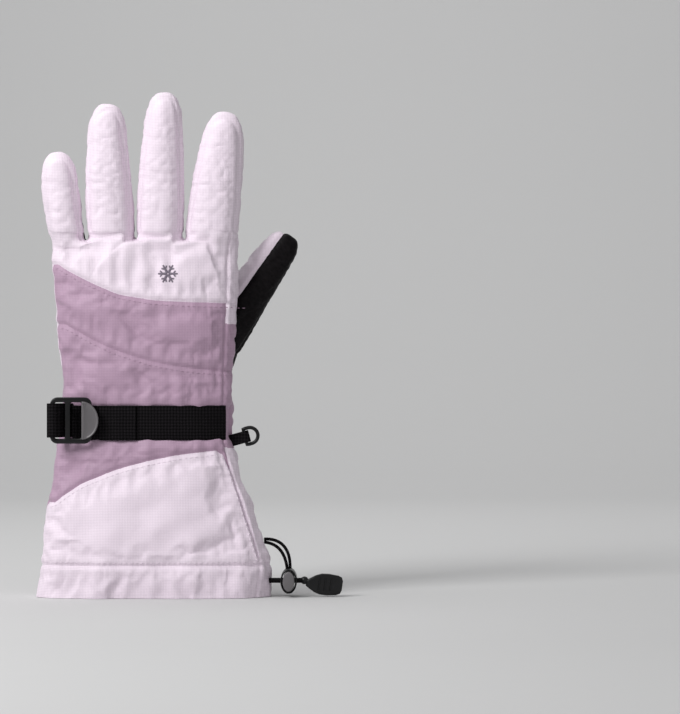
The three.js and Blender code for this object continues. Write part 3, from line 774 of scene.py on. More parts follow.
    def seam_nearness(self, points: np.ndarray) -> np.ndarray:
        """1 on the seams, the strap and the hem, falling to 0 between them.

        Args:
            points: positions in metres, one a row.

        Returns:
            One value a point.
        """
        near = np.zeros(len(points))
        for distance, *_ in self.grooves(points):
            near = np.maximum(near, bell(distance, 4 * MM))
        strap = bell(np.maximum(0, np.abs(points[:, 2] - self.seams.strap_middle) - self.seams.strap_half), 5 * MM)
        return np.clip(np.maximum(near, strap), 0, 1)

    def grooves(self, points: np.ndarray) -> list[tuple[np.ndarray, float, float]]:
        """Distances of points from each seam.

        Args:
            points: positions in metres, one a row.

        Returns:
            For each seam: distances in metres, large away from it, its depth and its puckering.
        """
        far = 1.0
        x, y, z = points.T
        angle, rise = self.hand.angle_and_rise(points)
        _, a, b = self.hand.at(z)
        on_hand = (z < HAND_TOP + 2 * MM) & (rise < 3 * MM)
        back = on_hand & (y < MIDDLE_Y)
        palm = on_hand & (y >= MIDDLE_Y)
        found = []

        def add(distance: np.ndarray, where: np.ndarray, depth: float = 1.0, pucker: float = 1.0) -> None:
            """Keeps one seam's distances."""
            found.append((np.where(where, np.abs(distance), far), depth, pucker))

        add((z - self.seams.back_top(x)) * 0.95, back, 1.0, 1.0)
        add((z - self.seams.back_mid(x)) * 0.95, back, 1.0, 1.2)
        add((z - self.seams.back_cuff(x)) * 0.92, back, 1.1, 1.2)
        add((z - self.seams.palm_cuff(x)) * 0.9, palm, 1.0, 1.2)
        add(z - self.seams.palm(x), palm, 0.9, 1.0)
        add(z - self.seams.hem, on_hand, 1.1, 1.6)
        reach = np.hypot(a * np.sin(np.radians(angle)), b * np.cos(np.radians(angle))) * np.radians(1.0)
        for seam, low, high in ((BACK_END, 0.0, 1.0), (BACK_START, 0.0, 1.0), (PALM_START, 0.150, 1.0),
                                (PALM_END, 0.130, 1.0)):
            off = off_seam(angle, seam)
            add(off * reach, on_hand & (z > low) & (z < high) & (np.abs(off) < 40), 0.9, 0.7)
        for finger in self.fingers.values():
            middle, half, _ = finger.at(z)
            on_finger = (z > finger.base + 2 * MM) & (np.abs(x - middle) < half + 2 * MM) & (off_thumb(points, self))
            seam_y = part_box(f"{finger.name}_back")[1].y
            add(y - seam_y, on_finger, 0.9, 0.8)
            add(self.window_field(finger, points), on_finger & (y > MIDDLE_Y + 1 * MM), 0.9, 0.5)
        zone = self.thumb_zone(points)
        add(zone.across - STRIP_SEAM, zone.on_thumb | zone.on_gusset, 0.9, 0.5)
        add(zone.across - zone.strip_edge, zone.on_gusset, 0.7, 0.4)
        add(y - THUMB_SPLIT, zone.on_thumb & (zone.across > STRIP_SEAM), 0.7, 0.3)
        add(zone.along - GUSSET_END, zone.on_thumb | zone.on_gusset, 0.6, 0.3)
        add(zone.capsule, (y > MIDDLE_Y + 12 * MM) & (zone.along < GUSSET_END), 1.0, 1.0)
        return found

    def thumb_zone(self, points: np.ndarray) -> ThumbZone:
        """Where points lie on the thumb and its gusset.

        Args:
            points: positions in metres, one a row.

        Returns:
            Their distances along and across the thumb, and masks of its two parts.
        """
        y = points[:, 1]
        along, across = self.thumb.coordinates(points)
        _, rise = self.hand.angle_and_rise(points)
        rise = np.where(points[:, 2] > HAND_TOP, 1.0, rise)
        s = np.clip(along, 0, self.thumb.length)
        middle, a, b = self.thumb.sections(s)
        u = ((points - middle) @ np.array(self.thumb.side)) / a
        v = (y - middle[:, 1]) / b
        tube = (np.abs(u) ** FINGER_POWER + np.abs(v) ** FINGER_POWER) ** (1 / FINGER_POWER)
        off = (points - self.gusset_centre()) * np.array((1, 0, 1))
        down = np.minimum(off @ np.array(self.thumb.way), 0) / (17.0 * MM)
        wide = off @ np.array(self.thumb.side) / (18.0 * MM)
        capsule = (np.hypot(down, wide) - 1) * 17 * MM
        on_thumb = (along > GUSSET_END) & (tube < 1.45) & (rise > THUMB_RISE) & (y > MIDDLE_Y + 6 * MM)
        on_gusset = (along <= GUSSET_END) & (capsule < 0) & (y > THUMB_UNDERSIDE)
        taper = np.clip((along + 34 * MM) / (36 * MM), 0, 1)
        edge = STRIP_SEAM - 1 * MM - 12 * MM * taper
        return ThumbZone(along, across, capsule, rise, tube, edge, on_thumb, on_gusset)

    def window_field(self, finger: FingerProfile, points: np.ndarray) -> np.ndarray:
        """Below 0 inside the black front of a finger, above 0 outside it, in metres.

        Args:
            finger: the finger.
            points: positions in metres, one a row.

        Returns:
            One value a point.
        """
        x, _, z = points.T
        shoulder = finger.window_top - 8 * MM
        left = np.interp(np.minimum(z, shoulder), finger.window_z, finger.window_left)
        right = np.interp(np.minimum(z, shoulder), finger.window_z, finger.window_right)
        middle, half, _ = finger.at(z)
        for crotch in self.crotches:
            opened = 1 - smoothstep(crotch.z + 1 * MM, crotch.z + 16 * MM, z)
            if crotch.left == finger.name:
                right = right + opened * (middle + half + 2 * MM - right)
            if crotch.right == finger.name:
                left = left + opened * (middle - half - 2 * MM - left)
        up = np.clip((z - shoulder) / (finger.window_top - shoulder), 0, 1.3)
        centre, reach = (left + right) / 2, (right - left) / 2
        narrowed = reach * np.sqrt(np.maximum(0, 1 - np.minimum(up, 1) ** 2.4))
        side = np.abs(x - centre) - narrowed
        return np.where(z > finger.window_top, np.maximum(side, z - finger.window_top), side)

    def build(self) -> None:
        """Makes the finished skin, cut along its seams, with each face labelled by its panel."""
        obj = self.rough()
        remesh(obj, VOXEL)
        soften(obj, 0.5, 4)
        self.inflate(obj)
        LOG.info("skin inflated")
        divided = obj.modifiers.new("finer", "SUBSURF")
        divided.levels = divided.render_levels = 1
        settle(obj)
        bm = bmesh.new()
        bm.from_mesh(obj.data)
        for field_of in self.cut_fields():
            cut_along(bm, field_of)
        bm.to_mesh(obj.data)
        bm.free()
        self.labels = self.label(face_centres(obj.data))
        co = coordinates(obj.data)
        move_to(obj.data, co + normals(obj.data) * self.relief(co)[:, None])
        self.obj = obj
        bm = bmesh.new()
        bm.from_mesh(obj.data)
        self.tree = BVHTree.FromBMesh(bm)
        bm.free()
        LOG.info("skin has %d faces", len(obj.data.polygons))

    def cut_fields(self) -> list[Seam]:
        """The seams as functions whose zero lines the mesh is cut along, each with where it counts."""
        fields = [
            self.height_field(self.seams.back_top, -1), self.height_field(self.seams.back_mid, -1),
            self.height_field(self.seams.back_cuff, -1), self.height_field(self.seams.palm_cuff, 1),
            self.height_field(self.seams.palm, 1),
            self.height_field(lambda x: np.full_like(x, self.seams.hem), 0),
            self.height_field(lambda x: np.full_like(x, self.seams.index_strip), 1),
            self.angle_field(PALM_START), self.angle_field(PALM_END),
            self.angle_field(BACK_START), self.angle_field(BACK_END),
        ]
        for finger in self.fingers.values():
            fields += [self.root_field(finger), self.side_field(finger), self.front_field(finger)]
        return fields + self.thumb_fields()

    def height_field(self, seam: Line, side: int) -> Seam:
        """A seam that runs round the hand, on the back (-1), the palm (1) or both (0).

        Args:
            seam: the seam's height over X.
            side: its side.

        Returns:
            The seam's field.
        """

        def values(points: np.ndarray) -> tuple[np.ndarray, np.ndarray]:
            """Signed distances and where they count."""
            _, rise = self.hand.angle_and_rise(points)
            there = (points[:, 2] < HAND_TOP) & (rise < 4 * MM) & (side * (points[:, 1] - MIDDLE_Y) > -9 * MM)
            return points[:, 2] - seam(points[:, 0]), there

        return values

    def angle_field(self, seam: float) -> Seam:
        """A seam that runs up the hand at an angle.

        Args:
            seam: the angle in degrees.

        Returns:
            The seam's field.
        """

        def values(points: np.ndarray) -> tuple[np.ndarray, np.ndarray]:
            """Signed distances and where they count."""
            angle, rise = self.hand.angle_and_rise(points)
            off = off_seam(angle, seam)
            there = (np.abs(off) < 30) & (rise < 4 * MM) & (points[:, 2] < HAND_TOP + 6 * MM)
            return np.radians(off) * 20 * MM, there

        return values

    def near_finger(self, finger: FingerProfile, points: np.ndarray) -> np.ndarray:
        """Whether points belong to a finger, above the hand.

        Args:
            finger: the finger.
            points: positions in metres, one a row.

        Returns:
            A mask.
        """
        middle, half, _ = finger.at(points[:, 2])
        above = points[:, 2] > finger.base - 3 * MM
        return above & (np.abs(points[:, 0] - middle) < half + 0.5 * MM) & off_thumb(points, self)

    def root_field(self, finger: FingerProfile) -> Seam:
        """The line where a finger's own pieces start."""
        return lambda points: (points[:, 2] - finger.base - self.blend_rise, self.near_finger(finger, points))

    def side_field(self, finger: FingerProfile) -> Seam:
        """The seam between a finger's back and its side band."""
        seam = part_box(f"{finger.name}_back")[1].y
        return lambda points: (points[:, 1] - seam, self.near_finger(finger, points))

    def front_field(self, finger: FingerProfile) -> Seam:
        """The edge of a finger's black front.

        Args:
            finger: the finger.

        Returns:
            The edge's field.
        """

        def values(points: np.ndarray) -> tuple[np.ndarray, np.ndarray]:
            """Signed distances and where they count."""
            there = self.near_finger(finger, points) & (points[:, 1] > MIDDLE_Y + 1 * MM)
            return self.window_field(finger, points), there

        return values

    def thumb_fields(self) -> list[Seam]:
        """The thumb's seams and its outline on the hand."""

        def field_of(pick: Callable[[ThumbZone, np.ndarray], tuple]) -> Seam:
            """A field from the thumb's zone."""
            return lambda points: pick(self.thumb_zone(points), points)

        near = 1.5
        return [
            field_of(lambda t, p: (t.along - GUSSET_END, (t.capsule < 5 * MM) & (p[:, 1] > MIDDLE_Y + 8 * MM))),
            field_of(lambda t, p: (t.capsule, (t.along < 8 * MM) & (p[:, 1] > MIDDLE_Y + 9 * MM))),
            field_of(lambda t, p: (p[:, 1] - THUMB_UNDERSIDE,
                                   (t.along < 4 * MM) & (t.capsule < 3 * MM) & (p[:, 0] > self.thumb.root.x - 6 * MM))),
            field_of(lambda t, p: (t.rise - THUMB_RISE, (t.along > -1 * MM) & (t.tube < near)
                                   & (p[:, 2] < HAND_TOP) & (p[:, 1] > MIDDLE_Y + 4 * MM))),
            field_of(lambda t, p: (p[:, 1] - MIDDLE_Y - 6 * MM, (t.along > 0) & (t.tube < near) & (t.rise > 1 * MM))),
            field_of(lambda t, p: (t.across - STRIP_SEAM, t.on_thumb | t.on_gusset)),
            field_of(lambda t, p: (t.across - t.strip_edge, t.on_gusset)),
            field_of(lambda t, p: (p[:, 1] - THUMB_SPLIT, t.on_thumb)),
        ]

    def label(self, points: np.ndarray) -> np.ndarray:
        """Names the panel that each point belongs to.

        Args:
            points: positions in metres, one a row.

        Returns:
            Indices into PANELS.
        """
        x, y, z = points.T
        angle, _ = self.hand.angle_and_rise(points)
        back = (angle >= BACK_START) & (angle < BACK_END)
        index_side = (angle < PALM_START) | (angle >= BACK_END)
        little_side = (angle >= PALM_END) & (angle < BACK_START)
        picked = np.full(len(points), PANELS.index("palm_panel"))

        def put(mask: np.ndarray, name: str) -> None:
            """Gives the points in a mask to a panel."""
            picked[mask] = PANELS.index(name)

        put(little_side, "little_side_strip")
        put(index_side, "index_side_strip")
        put(~back & (z < np.where(index_side, self.seams.index_strip, self.seams.palm(x))), "palm_wrist_panel")
        put(~back & (z < self.seams.palm_cuff(x)), "palm_cuff_panel")
        put(back, "back_panel")
        put(back & (z < self.seams.back_top(x)), "back_mid_panel")
        put(back & (z < self.seams.back_mid(x)), "back_wrist_panel")
        put(back & (z < self.seams.back_cuff(x)), "back_cuff_panel")
        put(z < self.seams.hem, "hem_channel")
        zone = self.thumb_zone(points)
        for finger in self.fingers.values():
            mine = (z > finger.base + self.blend_rise) & off_thumb(points, self) & self.closest_finger(finger, points)
            put(mine, f"{finger.name}_fourchette")
            put(mine & (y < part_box(f"{finger.name}_back")[1].y), f"{finger.name}_back")
            put(mine & (y > MIDDLE_Y + 1 * MM) & (self.window_field(finger, points) < 0), f"{finger.name}_palm")
        put(zone.on_thumb & (zone.across < STRIP_SEAM), "thumb_side_strip")
        put(zone.on_thumb & (zone.across >= STRIP_SEAM), "thumb_back_panel")
        put(zone.on_thumb & (zone.across >= STRIP_SEAM) & (y > THUMB_SPLIT), "thumb_palm_panel")
        put(zone.on_gusset, "thumb_gusset")
        strip = zone.on_gusset & (zone.across < STRIP_SEAM) & (zone.across > zone.strip_edge)
        put(strip, "thumb_side_strip")
        return picked

    def closest_finger(self, finger: FingerProfile, points: np.ndarray) -> np.ndarray:
        """Whether a finger is the nearest one to each point.

        Args:
            finger: the finger.
            points: positions in metres, one a row.

        Returns:
            A mask.
        """
        def gap(other: FingerProfile) -> np.ndarray:
            """Sideways distance outside a finger."""
            middle, half, _ = other.at(points[:, 2])
            return np.abs(points[:, 0] - middle) - half

        mine = gap(finger)
        return np.all([mine <= gap(other) for other in self.fingers.values()], axis=0)

    def relief(self, co: np.ndarray) -> np.ndarray:
        """How far each point is raised along its normal, in metres.

        Args:
            co: positions in metres, one a row.

        Returns:
            One height a point.
        """
        x, y, z = co.T
        angle, rise = self.hand.angle_and_rise(co)
        on_hand = (z < HAND_TOP + 2 * MM) & (rise < 5 * MM)
        back = (y < MIDDLE_Y) & on_hand
        palm = (y >= MIDDLE_Y) & on_hand
        height = np.zeros(len(co))
        around = np.radians(angle) * 46 * MM
        ripple = np.sin(around / (2.1 * MM) + 2.5 * noise_at(co, (14 * MM,) * 3, 3.1))
        for distance, depth, pucker in self.grooves(co):
            height -= self.groove_depth * depth * bell(distance, self.groove_width)
            height += 0.40 * MM * depth * bell(distance - 3.2 * MM, 2.6 * MM)
            height += 0.20 * MM * pucker * bell(distance, 7 * MM) * ripple
        wrist = bell(z - self.seams.strap_middle, 30 * MM)
        folds = noise_at(co, (7 * MM, 22 * MM, 46 * MM), 1.7)
        height += back * wrist * folds * 1.7 * MM
        slopes = noise_at(np.stack([x + 0.6 * z, y, z - 0.5 * x], 1), (30 * MM, 30 * MM, 13 * MM), 5.2)
        height += on_hand * (1 - 0.5 * wrist) * slopes * 1.15 * MM
        height += noise_at(co, (11 * MM, 11 * MM, 15 * MM), 8.4) * (0.4 - 0.22 * (z > HAND_TOP)) * MM
        height += noise_at(co, (4.5 * MM, 4.5 * MM, 6 * MM), 2.4) * 0.12 * MM
        cuff = 1 - smoothstep(20 * MM, 80 * MM, z)
        height += on_hand * cuff * noise_at(co, (16 * MM, 30 * MM, 60 * MM), 4.4) * 1.9 * MM
        height += self.strap_press(co, back)
        height += self.shirring(co, palm, angle)
        height += self.finger_fill * smoothstep(HAND_TOP - 6 * MM, HAND_TOP + 5 * MM, z) * off_thumb(co, self)
        for finger in self.fingers.values():
            height += self.knuckle_folds(finger, co)
        return height

    def strap_press(self, co: np.ndarray, back: np.ndarray) -> np.ndarray:
        """The strap's hollow in the back of the wrist, and the fabric that swells beside it.

        Args:
            co: positions in metres, one a row.
            back: which of them are on the back.

        Returns:
            One height a point.
        """
        off = np.abs(co[:, 2] - self.seams.strap_middle) - self.seams.strap_half
        hollow = -1.3 * MM * (1 - smoothstep(-2 * MM, 1.5 * MM, off))
        swell = 1.1 * MM * bell(off - 5 * MM, 4 * MM)
        return back * (hollow + swell * (0.7 + 0.5 * noise_at(co, (9 * MM,) * 3, 7.7)))

    def shirring(self, co: np.ndarray, palm: np.ndarray, angle: np.ndarray) -> np.ndarray:
        """The gathers that the two elastic rows pull into the palm side of the wrist.

        Args:
            co: positions in metres, one a row.
            palm: which of them are on the palm.
            angle: where they lie round the hand.

        Returns:
            One height a point.
        """
        z = co[:, 2]
        x = co[:, 0]
        inside = smoothstep(2, 16, angle) * (1 - smoothstep(168, 184, angle))
        middle = sum(self.seams.elastic_rows) / 2
        near = bell(z - middle, 21 * MM)
        wander = noise_at(co, (14 * MM, 40 * MM, 16 * MM), 6.1)
        fold = np.sin(x / (0.72 * MM) + 3.0 * wander)
        deep = np.sin(x / (1.9 * MM) + 4.0 * noise_at(co, (20 * MM, 40 * MM, 22 * MM), 9.3))
        height = near * (1.05 * MM * fold + 1.3 * MM * deep)
        for row in self.seams.elastic_rows:
            height -= 1.5 * MM * bell(z - row, 1.7 * MM)
        gap = (self.seams.elastic_rows[0] - self.seams.elastic_rows[1]) / 2
        height += 0.9 * MM * bell(np.abs(z - middle) - gap - 5 * MM, 3.5 * MM)
        height += 0.6 * MM * bell(z - middle, 2.5 * MM)
        return palm * inside * height

    def knuckle_folds(self, finger: FingerProfile, co: np.ndarray) -> np.ndarray:
        """Soft creases across a finger's back and front where it bends.

        Args:
            finger: the finger.
            co: positions in metres, one a row.

        Returns:
            One height a point.
        """
        x, y, z = co.T
        middle, half, _ = finger.at(z)
        mine = (z > finger.base) & (np.abs(x - middle) < half + 2 * MM) & off_thumb(co, self)
        length = finger.tip - finger.base
        height = np.zeros(len(co))
        wave = 1.6 * MM * np.sin((x - middle) / (5 * MM)) + 2.2 * MM * noise_at(co, (9 * MM,) * 3, 11.0)
        for share, depth in ((0.17, 0.2), (0.38, 0.34), (0.44, 0.22), (0.68, 0.2)):
            height -= depth * MM * bell(z + wave - finger.base - share * length, 1.8 * MM)
            height += 0.5 * depth * MM * bell(z + wave - finger.base - share * length - 3.4 * MM, 2.4 * MM)
        side = 1 - 0.6 * (y > MIDDLE_Y)
        return mine * side * height


def off_thumb(points: np.ndarray, skin: Skin) -> np.ndarray:
    """True away from the thumb, whose tip stands beside the fingers' roots.

    Args:
        points: positions in metres, one a row.
        skin: the glove.

    Returns:
        A mask.
    """
    s, across = skin.thumb.coordinates(points)
    thumb_x = skin.thumb.root.x + s * skin.thumb.way.x
    return ~((s > 40 * MM) & (np.abs(across) < 16 * MM) & (points[:, 0] > skin.fingers["index"].right.max() - 1 * MM))


# Finishes.


class Pattern(Enum):
    """The relief a finish carries."""

    WEAVE = "weave"
    GRAIN = "grain"
    RIBS = "ribs"
    SMOOTH = "smooth"
    THREAD = "thread"


@dataclass(frozen=True)
class Finish:
    """One material, made from nodes on the object's own coordinates."""

    name: str
    colour: tuple[float, float, float]     # sRGB, 0 to 255
    roughness: float
    pattern: Pattern = Pattern.SMOOTH
    scale: float = 0.0008                  # size of the pattern's repeat, in metres
    depth: float = 0.3
    variation: float = 0.05
    sheen: float = 0.0
    metallic: float = 0.0
    specular: float = 0.5
    painted_relief_shade: float = 0.12                 # painted shade in the pattern's hollows and painted highlight on its ridges, as a share of the colour
    way: tuple[float, float, float] = (0.0, 0.0, 0.0)   # turns the pattern, in degrees

    @staticmethod
    def linear(channel: float) -> float:
        """An sRGB channel from 0 to 255 as a linear value."""
        c = channel / 255
        return c / 12.92 if c <= 0.04045 else ((c + 0.055) / 1.055) ** 2.4

    def shade(self, factor: float) -> tuple[float, float, float, float]:
        """The finish's colour made lighter or darker by a factor."""
        r, g, b = (min(1.0, self.linear(c) * factor) for c in self.colour)
        return (r, g, b, 1.0)

    def material(self) -> bpy.types.Material:
        """The finish's material, made once."""
        title = f"{self.name}_finish"
        made = bpy.data.materials.get(title)
        if made:
            return made
        made = bpy.data.materials.new(title)
        made.use_nodes = True
        nodes, links = made.node_tree.nodes, made.node_tree.links
        shader = nodes["Principled BSDF"]
        shader.inputs["Metallic"].default_value = self.metallic
        shader.inputs["Specular IOR Level"].default_value = self.specular
        shader.inputs["Sheen Weight"].default_value = self.sheen
        shader.inputs["Sheen Roughness"].default_value = 0.4
        place = nodes.new("ShaderNodeTexCoord")
        turned = nodes.new("ShaderNodeMapping")
        turned.inputs["Rotation"].default_value = [math.radians(a) for a in self.way]
        links.new(place.outputs["Object"], turned.inputs["Vector"])
        patches = nodes.new("ShaderNodeTexNoise")
        patches.inputs["Scale"].default_value = 45.0
        patches.inputs["Detail"].default_value = 4.0
        links.new(place.outputs["Object"], patches.inputs["Vector"])
        tint = nodes.new("ShaderNodeValToRGB")
        tint.color_ramp.elements[0].position = 0.3
        tint.color_ramp.elements[0].color = self.shade(1 - self.variation)
        tint.color_ramp.elements[1].position = 0.7
        tint.color_ramp.elements[1].color = self.shade(1 + self.variation)
        links.new(patches.outputs["Fac"], tint.inputs["Fac"])
        rough = nodes.new("ShaderNodeMapRange")
        rough.inputs["To Min"].default_value = max(0.05, self.roughness - 0.07)
        rough.inputs["To Max"].default_value = min(1.0, self.roughness + 0.07)
        links.new(patches.outputs["Fac"], rough.inputs["Value"])
        links.new(rough.outputs["Result"], shader.inputs["Roughness"])
        height = self.relief(nodes, links, turned.outputs["Vector"])
        if height is None:
            links.new(tint.outputs["Color"], shader.inputs["Base Color"])
            return made
        # Painted shade and highlight: the pattern's height multiplies the colour, darker in its hollows and lighter on
        # its ridges.
        painted_shade_mix = nodes.new("ShaderNodeMix")
        painted_shade_mix.data_type = "RGBA"
        painted_shade_mix.blend_type = "MULTIPLY"
        painted_shade_mix.inputs["Factor"].default_value = 1.0
        links.new(tint.outputs["Color"], painted_shade_mix.inputs["A"])
        hollow = nodes.new("ShaderNodeValToRGB")
        hollow.color_ramp.elements[0].color = (*[1 - self.painted_relief_shade] * 3, 1)
        hollow.color_ramp.elements[1].color = (*[1 + self.painted_relief_shade] * 3, 1)
        links.new(height, hollow.inputs["Fac"])
        links.new(hollow.outputs["Color"], painted_shade_mix.inputs["B"])
        links.new(painted_shade_mix.outputs["Result"], shader.inputs["Base Color"])
        bump = nodes.new("ShaderNodeBump")
        bump.inputs["Strength"].default_value = self.depth
        bump.inputs["Distance"].default_value = 0.25 * self.scale
        links.new(height, bump.inputs["Height"])
        links.new(bump.outputs["Normal"], shader.inputs["Normal"])
        return made

    def relief(self, nodes: bpy.types.Nodes, links: bpy.types.NodeLinks,
               vector: bpy.types.NodeSocket) -> bpy.types.NodeSocket | None:
        """The pattern's height.

        Args:
            nodes: the material's nodes.
            links: the material's links.
            vector: socket with the pattern's coordinates.

        Returns:
            A socket from 0 to 1, or None for a smooth finish.
        """
        if self.pattern is Pattern.SMOOTH:
            return None
        if self.pattern is Pattern.GRAIN:
            return self.grain(nodes, links, vector)
        directions = {Pattern.RIBS: ("X",), Pattern.THREAD: ("DIAGONAL",), Pattern.WEAVE: ("X", "Z")}
        waves = [self.wave(nodes, links, vector, direction) for direction in directions[self.pattern]]
        if len(waves) == 1:
            return waves[0]
        mean = nodes.new("ShaderNodeMath")
        mean.operation = "MULTIPLY_ADD"
        mean.inputs[1].default_value = 0.5
        half = nodes.new("ShaderNodeMath")
        half.operation = "MULTIPLY"
        half.inputs[1].default_value = 0.5
        links.new(waves[0], mean.inputs[0])
        links.new(waves[1], half.inputs[0])
        links.new(half.outputs["Value"], mean.inputs[2])
        return mean.outputs["Value"]

    def wave(self, nodes: bpy.types.Nodes, links: bpy.types.NodeLinks, vector: bpy.types.NodeSocket,
             direction: str) -> bpy.types.NodeSocket:
        """Even ridges, one a repeat.

        Args:
            nodes: the material's nodes.
            links: the material's links.
            vector: socket with the pattern's coordinates.
            direction: the way the ridges follow one another.

        Returns:
            A socket from 0 to 1.
        """
        node = nodes.new("ShaderNodeTexWave")
        node.wave_type = "BANDS"
        node.bands_direction = direction
        node.wave_profile = "SIN"
        node.inputs["Scale"].default_value = math.pi / 10 / self.scale
        node.inputs["Distortion"].default_value = 0.8
        node.inputs["Detail"].default_value = 1.0
        node.inputs["Detail Scale"].default_value = 1.0
        links.new(vector, node.inputs["Vector"])
        return node.outputs["Fac"]

    def grain(self, nodes: bpy.types.Nodes, links: bpy.types.NodeLinks,
              vector: bpy.types.NodeSocket) -> bpy.types.NodeSocket:
        """Short slanting cells, as a grip fabric has.

        Args:
            nodes: the material's nodes.
            links: the material's links.
            vector: socket with the pattern's coordinates.

        Returns:
            A socket that grows from the middle of each cell.
        """
        stretch = nodes.new("ShaderNodeMapping")
        stretch.inputs["Scale"].default_value = (1.0, 1.0, 0.45)
        links.new(vector, stretch.inputs["Vector"])
        cells = nodes.new("ShaderNodeTexVoronoi")
        cells.feature = "SMOOTH_F1"
        cells.inputs["Scale"].default_value = 1 / self.scale
        links.new(stretch.outputs["Vector"], cells.inputs["Vector"])
        return cells.outputs["Distance"]


FINISHES = {
    finish.name: finish
    for finish in (
        Finish("lilac_shell", (228, 214, 226), 0.62, Pattern.WEAVE, 0.0009, 0.45, 0.03, 0.2),
        Finish("mauve_shell", (172, 143, 165), 0.60, Pattern.WEAVE, 0.0009, 0.45, 0.04, 0.15),
        # Palm fabric, webbing and cord get strong painted shade in their patterns' hollows and painted highlight on
        # their ridges.
        Finish("palm_fabric", (19, 16, 18), 0.55, Pattern.GRAIN, 0.0014, 0.9, 0.12, specular=0.08, painted_relief_shade=0.6,
               way=(0, 42, 0)),
        Finish("webbing", (19, 17, 19), 0.75, Pattern.WEAVE, 0.0018, 1.0, 0.15, specular=0.05, painted_relief_shade=0.9),
        Finish("cord", (18, 17, 18), 0.7, Pattern.THREAD, 0.0010, 0.8, 0.1, specular=0.1, painted_relief_shade=0.6),
        Finish("elastic", (40, 38, 42), 0.8, Pattern.RIBS, 0.0010, 0.8),
        Finish("insulation", (232, 230, 226), 0.95, Pattern.GRAIN, 0.004, 0.5, 0.03, 0.3),
        Finish("lining", (150, 128, 152), 0.9, Pattern.GRAIN, 0.0018, 0.5, 0.06, 0.4),
        Finish("facing", (140, 118, 142), 0.75, Pattern.WEAVE, 0.0009, 0.4, 0.05, 0.2),
        Finish("black_plastic", (16, 16, 17), 0.34, variation=0.08, specular=0.3),
        Finish("grey_plastic", (98, 95, 97), 0.42, variation=0.05),
        Finish("spring_steel", (190, 190, 192), 0.25, metallic=1.0),
        Finish("thread", (118, 108, 122), 0.5, Pattern.THREAD, 0.0006, 0.8, 0.05, 0.3),
    )
}


def dress(obj: bpy.types.Object, slot: str) -> bpy.types.Object:
    """Gives a piece its finish and its material slot.

    Args:
        obj: the piece.
        slot: the slot's name, which is the finish's.

    Returns:
        The piece.
    """
    obj.data.materials.clear()
    obj.data.materials.append(FINISHES[slot].material())
    return obj


SLOT_OF = {part["node"]: part["material_slot"] for part in frame["record"]["subparts"]}


def place(obj: bpy.types.Object, node: str, body: str = "root") -> bpy.types.Object:
    """Dresses a piece, puts it on its body and lets it stand for its CAD node.

    Args:
        obj: the piece.
        node: the CAD node.
        body: its body.

    Returns:
        The piece.
    """
    dress(obj, SLOT_OF[node])
    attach(obj, body)
    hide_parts(node)
    LOG.info("%s: %d faces", obj.name, len(obj.data.polygons))
    return obj


# Fabric pieces.


